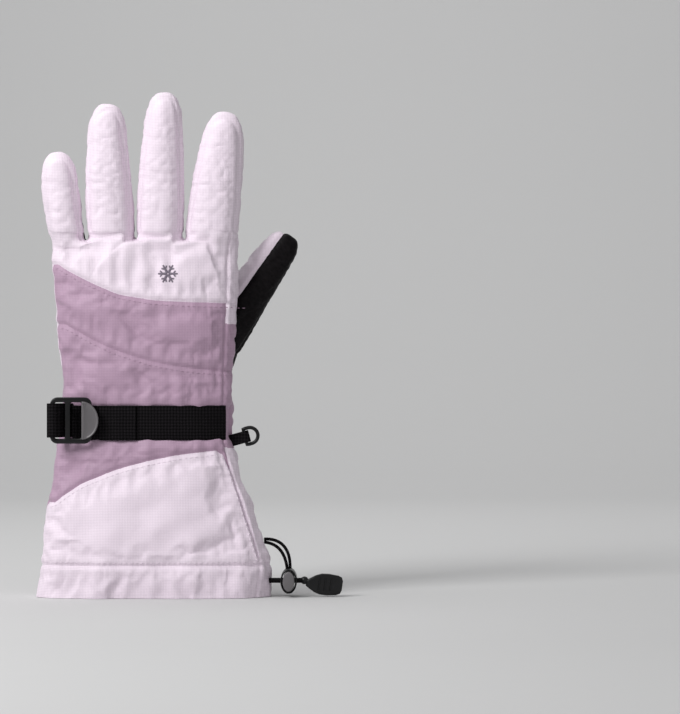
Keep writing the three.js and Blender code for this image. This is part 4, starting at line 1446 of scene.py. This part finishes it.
@dataclass
class Panels:
    """The shell's panels, cut from the skin."""

    skin: Skin

    def build(self) -> None:
        """Makes one piece for each panel."""
        mesh = self.skin.obj.data
        out = normals(mesh)
        co = coordinates(mesh)
        for number, name in enumerate(PANELS):
            faces = np.nonzero(self.skin.labels == number)[0]
            obj = self.piece(name, mesh, co, out, faces)
            self.fit(obj, name)
        self.behind_thumb()
        bpy.data.objects.remove(self.skin.obj)

    def piece(self, name: str, mesh: bpy.types.Mesh, co: np.ndarray, out: np.ndarray,
              faces: np.ndarray) -> bpy.types.Object:
        """Cuts one panel off the skin and gives it its thickness.

        Args:
            name: the panel's name.
            mesh: the skin's mesh.
            co: the skin's vertices.
            out: the skin's normals.
            faces: the panel's faces.

        Returns:
            The panel.
        """
        index: dict[int, int] = {}
        polygons = []
        for face in faces:
            polygons.append([index.setdefault(v, len(index)) for v in mesh.polygons[int(face)].vertices])
        used = np.array(list(index))
        panel = bpy.data.meshes.new(name)
        panel.from_pydata(co[used].tolist(), [], polygons)
        bm = bmesh.new()
        bm.from_mesh(panel)
        outward = bm.verts.layers.float_vector.new("outward")
        for vert, normal in zip(bm.verts, out[used]):
            vert[outward] = Vector(normal)
        bmesh.ops.bisect_plane(bm, geom=bm.verts[:] + bm.edges[:] + bm.faces[:], plane_co=(0, 0, 0.2 * MM),
                               plane_no=(0, 0, -1), clear_outer=True)
        self.thicken(bm, outward)
        loops = [self.loop_normal(face, vert, outward) for face in bm.faces for vert in face.verts]
        bm.to_mesh(panel)
        bm.free()
        panel.polygons.foreach_set("use_smooth", [True] * len(panel.polygons))
        panel.normals_split_custom_set(loops)
        return new_object(name, panel)

    @staticmethod
    def thicken(bm: bmesh.types.BMesh, outward: bmesh.types.BMLayerItem) -> None:
        """Adds an inner face and a rim behind an outer face.

        Args:
            bm: the panel's mesh.
            outward: layer with the skin's normals.
        """
        outer = bm.faces[:]
        made = bmesh.ops.extrude_face_region(bm, geom=outer, use_keep_orig=True)["geom"]
        for item in made:
            if isinstance(item, bmesh.types.BMVert):
                item.co -= item[outward] * SKIN_THICKNESS
        inner = [item for item in made if isinstance(item, bmesh.types.BMFace)]
        bmesh.ops.reverse_faces(bm, faces=[face for face in inner if face.normal.length > 0])
        for item in made:
            if isinstance(item, bmesh.types.BMVert):
                item[outward] = -item[outward]

    @staticmethod
    def loop_normal(face: bmesh.types.BMFace, vert: bmesh.types.BMVert,
                    outward: bmesh.types.BMLayerItem) -> Vector:
        """The shading normal at a face's corner: the skin's on its faces, the face's own on its rim.

        Args:
            face: the face.
            vert: the corner's vertex.
            outward: layer with the skin's normals.

        Returns:
            The normal.
        """
        side = [v[outward].dot(face.normal) for v in face.verts]
        if min(side) > 0.25:
            return vert[outward].normalized()
        return face.normal.copy() if face.normal.length > 0.5 else Vector((0, 0, 1))

    def behind_thumb(self) -> None:
        """The palm fabric that shows between the hand and the thumb when the thumb folds."""
        hand = self.skin
        bm = bmesh.new()
        rows = []
        for z in np.linspace(146 * MM, 200 * MM, 14):
            ring = hand.hand_ring(float(z), 1.5 * MM)
            rows.append([bm.verts.new(ring(math.radians(a))) for a in np.linspace(-14, 70, 22)])
        for below, above in zip(rows, rows[1:]):
            for k in range(len(below) - 1):
                bm.faces.new((below[k], below[k + 1], above[k + 1], above[k]))
        bmesh.ops.recalc_face_normals(bm, faces=bm.faces[:])
        bmesh.ops.solidify(bm, geom=bm.faces[:], thickness=SKIN_THICKNESS)
        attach(dress(object_from("palm_behind_thumb", bm), "palm_fabric"), "root")

    def fit(self, obj: bpy.types.Object, name: str) -> None:
        """Puts a panel on its body; a finger or thumb panel is dressed, its transform baked, and it is put on no body.

        Args:
            obj: the panel.
            name: the panel's CAD node.
        """
        part = name.split("_")[0]
        if name in BENDING_PANELS:
            dress(obj, SLOT_OF[name])
            bend_with(obj, part, self.skin)
            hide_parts(name)
        else:
            place(obj, name)
        LOG.info("%s cut, %d faces", name, len(obj.data.polygons))


def bend_with(obj: bpy.types.Object, body: str, skin: Skin) -> None:
    """Bakes a finger or thumb piece's transform into its mesh; nothing here makes it bend.

    Args:
        obj: the piece.
        body: the finger or thumb.
        skin: gives where the finger or thumb starts.
    """
    if body == "thumb":
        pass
    else:
        finger = skin.fingers[body]
        middle = float(finger.at(np.array(finger.base))[0])
    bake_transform(obj)


@dataclass
class Inside:
    """The padding and lining inside the shell."""

    skin: Skin
    padding_inset: float = 4.6 * MM
    padding_thickness: float = 1.6 * MM
    lining_inset: float = 6.6 * MM
    lining_thickness: float = 0.8 * MM
    finger_padding_inset: float = 2.2 * MM
    finger_padding_thickness: float = 1.4 * MM
    finger_lining_inset: float = 4.2 * MM
    finger_lining_thickness: float = 0.7 * MM
    fill: float = 0.7

    def sleeve(self, name: str, rings: Sequence[Ring], thickness: float, segments: int = 36,
               closed: bool = True) -> bpy.types.Object:
        """A soft tube with its own thickness.

        Args:
            name: the piece's name.
            rings: its outer sections, from its mouth to its end.
            thickness: how thick its wall is.
            segments: points round it.
            closed: whether its last ring is closed over.

        Returns:
            The tube.
        """
        bm = bmesh.new()
        verts = loft(bm, rings, segments, caps=False)
        if closed:
            last = set(verts[-segments:])
            rim = [e for v in last for e in v.link_edges if e.other_vert(v) in last]
            bmesh.ops.holes_fill(bm, edges=list(set(rim)), sides=segments)
        bmesh.ops.recalc_face_normals(bm, faces=bm.faces[:])
        bmesh.ops.solidify(bm, geom=bm.faces[:], thickness=thickness)
        return object_from(name, bm)

    def build(self) -> None:
        """Makes every inner piece."""
        heights = np.linspace(62 * MM, self.skin.fingers["little"].base - 3 * MM, 22)
        for name, inset, thickness in (("hand_insulation", self.padding_inset, self.padding_thickness),
                                       ("hand_lining", self.lining_inset, self.lining_thickness)):
            rings = [self.skin.hand_ring(z, inset + 4 * MM * float(smoothstep(0.165, 0.195, z))) for z in heights]
            obj = self.sleeve(name, rings, thickness, closed=False)
            place(obj, name)
        share = (0.1, 0.25, 0.4, 0.55, 0.7, 0.8, 0.87, 0.92, 0.95)
        layers = (("insulation", self.finger_padding_inset, self.finger_padding_thickness),
                  ("lining", self.finger_lining_inset, self.finger_lining_thickness))
        for finger in self.skin.fingers.values():
            rise = finger.tip - finger.base
            for part, inset, wall in layers:
                rings = [self.skin.finger_ring(finger, finger.base + t * rise, inset + self.root_taper(t))
                         for t in (-0.08, *share)]
                self.finish(self.sleeve(f"{finger.name}_{part}", rings, wall, 24), finger.name, part)
        for part, inset, wall in layers:
            rings = [self.skin.thumb_ring(t * self.skin.thumb.length, inset + self.root_taper(t - 0.15))
                     for t in (0.1, *share)]
            self.finish(self.sleeve(f"thumb_{part}", rings, wall, 24), "thumb", part)
        cuff = np.linspace(1.2 * MM, 60 * MM, 14)
        place(self.sleeve("cuff_facing", [self.skin.hand_ring(z, 3.6 * MM) for z in cuff], 0.8 * MM, 60,
                          closed=False), "cuff_facing")
        for row in ("upper", "lower"):
            self.elastic(f"{row}_wrist_elastic")

    @staticmethod
    def root_taper(share: float) -> float:
        """How much further in a sleeve lies near the root of its finger, in metres."""
        return 3.8 * MM * float(1 - smoothstep(-0.05, 0.28, np.array(share)))

    def finish(self, obj: bpy.types.Object, body: str, part: str) -> None:
        """Dresses an inner finger piece and bakes its transform.

        Args:
            obj: the piece.
            body: its finger, or the thumb.
            part: insulation or lining.
        """
        dress(obj, part)
        bend_with(obj, body, self.skin)
        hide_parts(f"{body}_{part}")

    def elastic(self, node: str) -> None:
        """One elastic band behind the shirring.

        Args:
            node: the band's CAD node.
        """
        low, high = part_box(node)
        span = np.radians(np.linspace(24, 164, 40))
        ring = {z: self.skin.hand_ring(z, 3.6 * MM) for z in (low.z, high.z)}
        obj = ribbon(node, [(ring[low.z](a), ring[high.z](a)) for a in span], 0.7 * MM)
        place(obj, node)


def ribbon(name: str, rungs: Sequence[tuple[Vector, Vector]], thickness: float, bevel: float = 0.0,
           crown: float = 0.0) -> bpy.types.Object:
    """A flat band.

    Args:
        name: the piece's name.
        rungs: pairs of points along its two edges.
        thickness: how thick it is.
        bevel: rounding of its edges.
        crown: how far its middle stands above its edges.

    Returns:
        The band.
    """
    bm = bmesh.new()
    across = 4
    rows = []
    for i, (a, b) in enumerate(rungs):
        before, after = rungs[max(0, i - 1)], rungs[min(len(rungs) - 1, i + 1)]
        along = (after[0] - before[0]).normalized()
        up = along.cross(b - a).normalized()
        rows.append([bm.verts.new(a.lerp(b, t / across) + up * crown * math.sin(math.pi * t / across))
                     for t in range(across + 1)])
    for below, above in zip(rows, rows[1:]):
        for k in range(across):
            bm.faces.new((below[k], above[k], above[k + 1], below[k + 1]))
    bmesh.ops.recalc_face_normals(bm, faces=bm.faces[:])
    bmesh.ops.solidify(bm, geom=bm.faces[:], thickness=thickness)
    if bevel:
        sharp = [e for e in bm.edges if len(e.link_faces) == 2 and e.calc_face_angle(0) > 1.0]
        bmesh.ops.bevel(bm, geom=sharp, offset=bevel, segments=2, profile=0.5, affect="EDGES", material=-1)
    return object_from(name, bm)


# Hard pieces.


def plate(name: str, outline: Sequence[tuple[float, float]], holes: Sequence[Sequence[tuple[float, float]]],
          thickness: float, to_world: Callable[[float, float, float], Vector], bevel: float,
          segments: int = 2) -> bpy.types.Object:
    """A flat part with holes and rounded edges.

    Args:
        name: the piece's name.
        outline: corners of its outside, in its own plane.
        holes: corners of each hole.
        thickness: how thick it is.
        to_world: turns (across, up, depth) into a position.
        bevel: rounding of its edges.
        segments: steps in the rounding.

    Returns:
        The part.
    """
    bm = bmesh.new()
    edges = []
    for loop in [outline, *holes]:
        verts = [bm.verts.new((u, v, 0)) for u, v in loop]
        edges += [bm.edges.new((a, b)) for a, b in zip(verts, verts[1:] + verts[:1])]
    bmesh.ops.triangle_fill(bm, edges=edges, use_beauty=True, use_dissolve=False)
    top = bmesh.ops.extrude_face_region(bm, geom=bm.faces[:], use_keep_orig=True)["geom"]
    bmesh.ops.translate(bm, verts=[v for v in top if isinstance(v, bmesh.types.BMVert)], vec=(0, 0, thickness))
    bmesh.ops.recalc_face_normals(bm, faces=bm.faces[:])
    sharp = [e for e in bm.edges if len(e.link_faces) == 2 and e.calc_face_angle(0) > 1.2]
    if bevel:
        bmesh.ops.bevel(bm, geom=sharp, offset=bevel, segments=segments, profile=0.5, affect="EDGES", material=-1)
    for vert in bm.verts:
        vert.co = to_world(*vert.co)
    bmesh.ops.recalc_face_normals(bm, faces=bm.faces[:])
    obj = object_from(name, bm)
    obj.data.set_sharp_from_angle(angle=math.radians(40))
    return obj


def rounded(u0: float, v0: float, u1: float, v1: float, radius: float, steps: int = 5) -> list[tuple[float, float]]:
    """Corners of a rounded rectangle.

    Args:
        u0: left.
        v0: bottom.
        u1: right.
        v1: top.
        radius: of its corners.
        steps: points in a corner.

    Returns:
        The corners.
    """
    points = []
    for cu, cv, start in ((u1 - radius, v0 + radius, -90), (u1 - radius, v1 - radius, 0),
                          (u0 + radius, v1 - radius, 90), (u0 + radius, v0 + radius, 180)):
        for k in range(steps + 1):
            a = math.radians(start + 90 * k / steps)
            points.append((cu + radius * math.cos(a), cv + radius * math.sin(a)))
    return points


def ellipse(cu: float, cv: float, a: float, b: float, steps: int = 36) -> list[tuple[float, float]]:
    """Points round an ellipse."""
    return [(cu + a * math.cos(math.tau * k / steps), cv + b * math.sin(math.tau * k / steps))
            for k in range(steps)]


def tube(name: str, points: Sequence[Vector], radius: float, sides: int = 12, closed: bool = False,
         flat: float = 1.0) -> bpy.types.Object:
    """A round or flattened tube along points.

    Args:
        name: the piece's name.
        points: its centre line.
        radius: its radius.
        sides: points round it.
        closed: whether it joins up with itself.
        flat: its thickness as a share of its width.

    Returns:
        The tube.
    """
    bm = bmesh.new()
    count = len(points)
    rings = []
    side = None
    for i, point in enumerate(points):
        before = points[(i - 1) % count] if closed else points[max(0, i - 1)]
        after = points[(i + 1) % count] if closed else points[min(count - 1, i + 1)]
        way = (after - before).normalized()
        side = way.orthogonal() if side is None else side - way * side.dot(way)
        side.normalize()
        up = way.cross(side)
        rings.append([bm.verts.new(point + side * radius * math.cos(math.tau * k / sides)
                                   + up * radius * flat * math.sin(math.tau * k / sides)) for k in range(sides)])
    pairs = list(zip(rings, rings[1:])) + ([(rings[-1], rings[0])] if closed else [])
    for below, above in pairs:
        for k in range(sides):
            bm.faces.new((below[k], below[(k + 1) % sides], above[(k + 1) % sides], above[k]))
    if not closed:
        bm.faces.new(rings[0][::-1])
        bm.faces.new(rings[-1])
    bmesh.ops.recalc_face_normals(bm, faces=bm.faces[:])
    return object_from(name, bm)


def joint_at(name: str) -> Vector:
    """Where a joint is, in metres."""
    return Vector(next(j for j in frame["joints"] if j["name"] == name)["pos_m"])


def cut_out(obj: bpy.types.Object, tool: bpy.types.Object) -> bpy.types.Object:
    """Takes one object's shape out of another, and removes the first.

    Args:
        obj: the object that is cut.
        tool: the shape that is taken out.

    Returns:
        The object that was cut.
    """
    modifier = obj.modifiers.new("hole", "BOOLEAN")
    modifier.operation = "DIFFERENCE"
    modifier.solver = "EXACT"
    modifier.object = tool
    settle(obj)
    bpy.data.objects.remove(tool)
    obj.data.set_sharp_from_angle(angle=math.radians(40))
    return obj


@dataclass
class Strap:
    """The wrist strap, its tail, the buckle and the loop that holds it."""

    skin: Skin
    webbing: float = 1.3 * MM

    def surface(self, x: float, z: float) -> float:
        """Y of the back of the glove at X and Z."""
        spot, _ = self.skin.hit(x, z, -1)
        return spot.y if spot else 0.0

    def band(self, node: str, lift: float, hidden: float = 0.0) -> bpy.types.Object:
        """A length of webbing that lies on the back of the wrist.

        Args:
            node: the CAD node it stands for.
            lift: how far its outer face stands off the fabric.
            hidden: how far it runs on under the buckle.

        Returns:
            The band.
        """
        low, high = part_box(node)
        xs = np.linspace(low.x - hidden, high.x - 1.8 * MM, 34)
        rows = np.linspace(low.z + 1 * MM, high.z - 1 * MM, 5)
        out = np.array([min(self.surface(x, z) for z in rows) for x in xs])
        out = smoothed(out, 5) - lift
        rungs = [(Vector((x, y, low.z)), Vector((x, y, high.z))) for x, y in zip(xs, out)]
        return ribbon(node, rungs, self.webbing, 0.3 * MM, 0.25 * MM)

    def build(self) -> None:
        """Makes the strap and its buckle."""
        place(self.band("wrist_strap", 0.9 * MM, 8.2 * MM), "wrist_strap")
        place(self.band("strap_tail", 2.6 * MM), "strap_tail")
        low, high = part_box("buckle_frame")

        def to_world(u: float, v: float, w: float) -> Vector:
            """The buckle's plane, its outer face towards -Y."""
            return Vector((low.x + u, high.y - w, low.z + v))

        width, height, thick = high.x - low.x, high.z - low.z, high.y - low.y
        outline = rounded(0, 0, width, height, 4.2 * MM)
        holes = [rounded(2.6 * MM, 2.9 * MM, 8.6 * MM, height - 2.9 * MM, 1 * MM, 3),
                 rounded(11.6 * MM, 2.9 * MM, 18 * MM, height - 2.9 * MM, 1 * MM, 3)]
        place(plate("buckle_frame", outline, holes, thick, to_world, 0.7 * MM, 3), "buckle_frame", "buckle")
        self.lever()
        self.anchor()

    def lever(self) -> None:
        """The grey half-round lever, with a raised rim."""
        low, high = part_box("buckle_lever")
        width, height = high.x - low.x, high.z - low.z
        arc = [(width * math.sin(math.radians(a)), height / 2 - height / 2 * math.cos(math.radians(a)))
               for a in np.linspace(0, 180, 25)]
        outline = arc + [(0.0, height * t) for t in (0.8, 0.6, 0.4, 0.2)]
        obj = plate("buckle_lever", outline, [], high.y - low.y,
                    lambda u, v, w: Vector((low.x + u, high.y - w, low.z + v)), 0.45 * MM, 3)
        bm = bmesh.new()
        bm.from_mesh(obj.data)
        face = [f for f in bm.faces if f.normal.y < -0.99]
        bmesh.ops.inset_region(bm, faces=face, thickness=1.1 * MM, depth=0.0)
        face = [f for f in bm.faces if f.normal.y < -0.99 and all(v.co.x > low.x + 1.2 * MM for v in f.verts)
                and f.calc_area() > 0]
        bmesh.ops.inset_region(bm, faces=face, thickness=0.3 * MM, depth=-0.35 * MM)
        bm.to_mesh(obj.data)
        bm.free()
        place(obj, "buckle_lever", "buckle")

    def anchor(self) -> None:
        """The loop of webbing round the buckle's bar, sewn to the side of the wrist."""
        bar = joint_at("buckle_tilt")
        low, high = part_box("buckle_anchor")
        radius = 2.1 * MM
        spot, normal, _, _ = self.skin.tree.find_nearest(Vector((bar.x, bar.y, (low.z + high.z) / 2)))
        foot = Vector((spot.x, spot.y, 0)) - Vector((normal.x, normal.y, 0)) * (2.5 * MM)
        centre = Vector((bar.x, bar.y, 0))
        way = (centre - foot).normalized()
        side = Vector((-way.y, way.x, 0))
        path = [foot + side * (1.3 * MM), foot.lerp(centre, 0.6) + side * (1.7 * MM)]
        for a in np.linspace(90, -90, 12):
            path.append(centre + (way * math.cos(math.radians(a)) + side * math.sin(math.radians(a))) * radius)
        path += [foot.lerp(centre, 0.6) - side * (1.7 * MM), foot - side * (1.3 * MM)]
        rungs = [(Vector((p.x, p.y, low.z)), Vector((p.x, p.y, high.z))) for p in path]
        place(ribbon("buckle_anchor", rungs, -1.1 * MM, 0.25 * MM), "buckle_anchor")


@dataclass
class LoopRing:
    """The small ring in its tab of webbing at the thumb side."""

    wire: float = 1.05 * MM

    def build(self) -> None:
        """Makes the tab and the ring."""
        bar = joint_at("ring_swing")
        axis = Vector(next(j for j in frame["joints"] if j["name"] == "ring_swing")["axis"]).normalized()
        out = Vector((axis.z, 0, -axis.x))
        low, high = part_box("loop_ring")
        half = 4.7 * MM
        reach = 2.9 * MM
        path = [bar + axis * t for t in np.linspace(-half, half, 8)]
        path += [bar + axis * half + out * t for t in np.linspace(1 * MM, reach, 3)]
        for a in np.linspace(80, -80, 15):
            r = math.radians(a)
            path.append(bar + out * (reach + half * math.cos(r)) + axis * (half * math.sin(r)))
        path += [bar - axis * half + out * t for t in np.linspace(reach, 1 * MM, 3)]
        place(tube("loop_ring", path, self.wire, 12, closed=True), "loop_ring", "loop_ring")
        wide = 3.4 * MM
        y = Vector((0, 1, 0))
        line = [bar - out * (10 * MM) + y * (1.2 * MM), bar - out * (3 * MM) + y * (1.5 * MM)]
        for a in np.linspace(90, -90, 12):
            r = math.radians(a)
            line.append(bar + (out * math.cos(r) + y * math.sin(r)) * (1.75 * MM))
        line += [bar - out * (3 * MM) - y * (1.5 * MM), bar - out * (10 * MM) - y * (1.2 * MM)]
        rungs = [(p - axis * wide, p + axis * wide) for p in line]
        place(ribbon("ring_tab", rungs, -1.0 * MM, 0.2 * MM), "ring_tab")


@dataclass
class CordLock:
    """The drawcord's end: tape, cord, sprung cord lock and pull tab."""

    wire: float = 0.35 * MM
    coils: int = 3
    groove: float = 0.55 * MM
    eye: float = 2.3 * MM

    def build(self) -> None:
        """Makes each piece."""
        barrel, button, cord = (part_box(n) for n in ("cord_lock_barrel", "cord_lock_button", "drawcord"))
        centre = (cord[0] + cord[1]) / 2
        middle = (barrel[0] + barrel[1]) / 2
        for node, (low, high), body, bevel in (("cord_lock_barrel", barrel, "root", 0.6 * MM),
                                               ("cord_lock_button", button, "lock_button", 0.9 * 0.6 * MM)):
            a, b = (high.x - low.x) / 2, (high.z - low.z) / 2
            holes = [ellipse(0, 0, a - 1.0 * MM, b - 1.0 * MM)] if node.endswith("barrel") else []
            front = high.y
            obj = plate(node, ellipse(0, 0, a, b), holes, front - low.y,
                        lambda u, v, w, front=front: Vector((middle.x + u, front - w, middle.z + v)), bevel, 3)
            rod_ends = [Vector((x, centre.y, centre.z)) for x in (low.x - 4 * MM, high.x + 4 * MM)]
            room = 1.9 * MM if node.endswith("barrel") else 2.0 * MM
            hole = tube("hole", rod_ends, room, 20)
            obj = cut_out(obj, hole)
            if node.endswith("button"):
                obj = cut_out(obj, tube("slot", [p - Vector((0, 2.4 * MM, 0)) for p in rod_ends], room, 20))
            place(obj, node, body)
        steps = np.linspace(0, 1, 9)
        start, end = cord[0].x, cord[1].x
        path = [Vector((start + t * (end - start), centre.y, centre.z)) for t in steps]
        place(tube("drawcord", path, (cord[1].y - cord[0].y) / 2 * 0.98, 16), "drawcord")
        self.spring()
        self.tape()
        self.pull()

    def spring(self) -> None:
        """The coil behind the button, built at its full length on the glove's root body."""
        low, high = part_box("cord_lock_spring")
        radius = (high.x - low.x) / 2 - self.wire
        rise = high.y - low.y - 2 * self.wire
        middle = (low + high) / 2
        path = []
        for t in np.linspace(0, 1, 24 * self.coils + 1):
            a = t * math.tau * self.coils
            path.append(Vector((middle.x + radius * math.cos(a), low.y + self.wire + t * rise,
                                middle.z + radius * math.sin(a))))
        obj = place(tube("cord_lock_spring", path, self.wire, 8), "cord_lock_spring", "root")
        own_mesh(obj)

    def tape(self) -> None:
        """The flat tape from the cuff's side seam to the cord lock."""
        low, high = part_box("anchor_tape")
        y = (low.y + high.y) / 2
        start = Vector((low.x - 0.5 * MM, y, high.z - 1.4 * MM))
        bend = Vector((high.x - 1.5 * MM, y, high.z - 1.6 * MM))
        end = Vector((high.x - 0.9 * MM, y, low.z - 1.4 * MM))
        for name, apart in (("anchor_tape", -1.0), ("anchor_tape_second", 1.0)):
            path = []
            for t in np.linspace(0, 1, 20):
                point = start * (1 - t) ** 2 + bend * (2 * t * (1 - t)) + end * t ** 2
                away = Vector((t, 0, 1 - t)).normalized() * (apart * (0.8 + 0.7 * math.sin(math.pi * t)) * MM)
                path.append(point + away + Vector((0, apart * 0.7 * MM, 0)))
            place(tube(name, path, 1.0 * MM, 10, flat=0.8), "anchor_tape")

    def pull(self) -> None:
        """The moulded pull tab on the cord's end."""
        low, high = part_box("pull_tab")
        length, half = high.x - low.x, (high.z - low.z) / 2
        middle = (low.z + high.z) / 2
        share = ((0, 0.24), (0.1, 0.45), (0.24, 0.72), (0.4, 0.9), (0.6, 0.92), (0.85, 0.84), (0.96, 0.7), (1.0, 0.4))
        upper = [(length * u, half * v) for u, v in share]
        outline = [(u, -v) for u, v in upper] + upper[::-1]
        turn = math.radians(-8)

        def to_world(u: float, v: float, w: float) -> Vector:
            """The tab's plane, tipped a little."""
            c, s = math.cos(turn), math.sin(turn)
            return Vector((low.x + u * c - v * s, high.y - w, middle + u * s * 0.6 + v * c))

        obj = plate("pull_tab", outline, [], high.y - low.y, to_world, 0.8 * MM, 3)
        for at in (0.36, 0.52, 0.68):
            ends = [to_world(length * at, v * half, high.y - low.y + 0.15 * MM) for v in (-0.55, 0.55)]
            obj = cut_out(obj, tube("groove", ends, self.groove, 10))
        hinge = joint_at("pull_tab_swing")
        bm = bmesh.new()
        bm.from_mesh(obj.data)
        bmesh.ops.create_uvsphere(bm, u_segments=24, v_segments=14, radius=self.eye,
                                  matrix=Matrix.Translation(hinge))
        bm.to_mesh(obj.data)
        bm.free()
        obj.data.set_sharp_from_angle(angle=math.radians(40))
        place(obj, "pull_tab", "pull_tab")


@dataclass
class Stitching:
    """Rows of stitches beside the seams, and the embroidered star."""

    skin: Skin
    pitch: float = 3.1 * MM
    size: tuple[float, float, float] = (2.3 * MM, 0.6 * MM, 0.5 * MM)

    def row(self, bm: bmesh.types.BMesh, line: Sequence[tuple[float, float]], side: int) -> None:
        """One row of stitches.

        Args:
            bm: mesh to add to.
            line: X and Z along the row.
            side: -1 on the back, 1 on the palm.
        """
        points = [Vector((x, 0, z)) for x, z in line]
        left = 0.0
        for a, b in zip(points, points[1:]):
            length = (b - a).length
            while left < length:
                spot = a.lerp(b, left / length)
                hit, normal = self.skin.hit(spot.x, spot.z, side)
                if hit is not None and normal.y * side > 0.35 and self.skin.stand_off(hit) < 4 * MM:
                    self.stitch(bm, hit, normal, (b - a).normalized())
                left += self.pitch
            left -= length

    def stitch(self, bm: bmesh.types.BMesh, at: Vector, normal: Vector, along: Vector,
               length: float | None = None) -> None:
        """One stitch, a small rounded bar.

        Args:
            bm: mesh to add to.
            at: its middle.
            normal: the fabric's normal.
            along: its direction.
            length: its length, if not the usual one.
        """
        along = (along - normal * along.dot(normal)).normalized()
        turn = Matrix((along, normal.cross(along), normal)).transposed().to_4x4()
        long, wide, high = self.size
        scale = Matrix.Diagonal((length or long, wide, high, 1))
        made = bmesh.ops.create_uvsphere(bm, u_segments=6, v_segments=4, radius=0.5,
                                         matrix=Matrix.Translation(at) @ turn @ scale)["verts"]
        for vert in made:
            vert.co += normal * 0.05 * MM

    def build(self) -> None:
        """Makes the rows and the star."""
        seams = self.skin.seams
        hem = (lambda x: np.full_like(x, seams.hem), 1.6)
        elastics = [(lambda x, z=z: np.full_like(x, z), 0.0) for z in seams.elastic_rows]
        rows = [
            ("back_mauve_stitching", "mauve_shell", -1, [(seams.back_top, -2.4), (seams.back_mid, -2.4)]),
            ("back_lilac_stitching", "lilac_shell", -1, [(seams.back_cuff, -2.6), hem]),
            ("palm_mauve_stitching", "mauve_shell", 1, elastics),
            ("palm_lilac_stitching", "lilac_shell", 1, [(seams.palm_cuff, -2.6), hem]),
            ("palm_black_stitching", "palm_fabric", 1, [(seams.palm, 2.4)]),
        ]
        xs = np.linspace(-75 * MM, 64 * MM, 57)
        for name, finish, side, lines in rows:
            bm = bmesh.new()
            for seam, off in lines:
                heights = seam(xs) + off * MM
                self.row(bm, list(zip(xs.tolist(), heights.tolist())), side)
            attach(dress(object_from(name, bm), finish), "root")
        self.star()

    def star(self) -> None:
        """A plain six-armed star in raised thread."""
        low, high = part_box("embroidered_star")
        centre = (low + high) / 2
        bm = bmesh.new()
        arm = (high.x - low.x) / 2
        for k in range(6):
            a = math.radians(60 * k)
            out = Vector((math.cos(a), 0, math.sin(a)))
            for t in np.linspace(0.12, 1.0, 16):
                width = (2.1 - 1.0 * t) * MM
                self.satin(bm, centre + out * arm * t, Vector((-out.z, 0, out.x)), width)
            for lean in (-50, 50):
                b = a + math.radians(lean)
                twig = Vector((math.cos(b), 0, math.sin(b)))
                for t in np.linspace(0.1, 0.36, 6):
                    self.satin(bm, centre + out * arm * 0.55 + twig * arm * t, Vector((-twig.z, 0, twig.x)), 1.1 * MM)
        obj = object_from("embroidered_star", bm)
        place(obj, "embroidered_star")

    def satin(self, bm: bmesh.types.BMesh, spot: Vector, along: Vector, length: float) -> None:
        """One satin stitch on the back of the hand.

        Args:
            bm: mesh to add to.
            spot: its middle, seen from the back.
            along: its direction.
            length: its length.
        """
        hit, normal = self.skin.hit(spot.x, spot.z, -1)
        if hit is not None:
            self.stitch(bm, hit, normal, along, length)


# The studio.


@dataclass
class Studio:
    """Floor, wall, lights and camera."""

    aim: Vector = field(default_factory=lambda: Vector((0.1012, -0.0085, 0.139)))
    distance: float = 1.73
    lens: float = 150.0

    def build(self) -> None:
        """Makes the stage, the lights and the camera."""
        self.backdrop()
        self.light("key", (-0.75, -0.75, 0.85), 0.5, 13.0)
        self.light("fill", (0.8, -1.0, 0.25), 1.0, 2.0)
        self.light("top", (-0.25, 0.05, 1.1), 0.6, 3.0)
        self.light("wash", (0.1, 0.7, 1.5), 1.2, 13.0, Vector((0.1, 2.2, 0.5)))
        world = bpy.context.scene.world or bpy.data.worlds.new("world")
        bpy.context.scene.world = world
        world.use_nodes = True
        sky = world.node_tree.nodes["Background"]
        sky.inputs["Color"].default_value = (0.80, 0.80, 0.81, 1)
        sky.inputs["Strength"].default_value = 0.42
        camera = bpy.data.objects.new("camera", bpy.data.cameras.new("camera"))
        bpy.context.scene.collection.objects.link(camera)
        camera.data.lens = self.lens
        camera.data.sensor_width = 36
        camera.location = self.aim - Vector((0, self.distance, 0))
        camera.rotation_euler = (math.radians(90), 0, 0)
        bpy.context.scene.camera = camera
        bpy.context.scene.view_settings.view_transform = "Standard"

    def backdrop(self) -> None:
        """A floor and a wall in one swept sheet."""
        bm = bmesh.new()
        profile = [(-4.0, 0.0), (1.2, 0.0)]
        profile += [(1.2 + 1.0 * math.sin(math.radians(a)), 1.0 - math.cos(math.radians(a))) for a in range(10, 91, 10)]
        profile += [(2.2, 4.0)]
        rows = [[bm.verts.new((x, y, z)) for x in (-5.0, 5.0)] for y, z in profile]
        for a, b in zip(rows, rows[1:]):
            bm.faces.new((a[0], a[1], b[1], b[0]))
        sheet = object_from("backdrop", bm)
        sheet.data.materials.append(Finish("backdrop", (198, 198, 198), 0.9, variation=0.0).material())

    def light(self, name: str, at: tuple[float, float, float], size: float, power: float,
              towards: Vector = Vector((0, 0, 0.14))) -> None:
        """One soft lamp, facing the glove unless told otherwise.

        Args:
            name: the lamp's name.
            at: where it stands.
            size: its side, in metres.
            power: its power, in watts.
            towards: what it faces.
        """
        data = bpy.data.lights.new(name, "AREA")
        data.size = size
        data.energy = power
        lamp = bpy.data.objects.new(name, data)
        lamp.location = at
        lamp.rotation_euler = (towards - lamp.location).to_track_quat("-Z", "Y").to_euler()
        bpy.context.scene.collection.objects.link(lamp)


def main() -> None:
    """Builds the glove and the studio."""
    logging.basicConfig(level=logging.INFO, format="%(message)s")
    skin = Skin()
    skin.build()
    Strap(skin).build()
    LoopRing().build()
    CordLock().build()
    Stitching(skin).build()
    Panels(skin).build()
    Inside(skin).build()
    Studio().build()


if __name__ == "__main__":
    main()
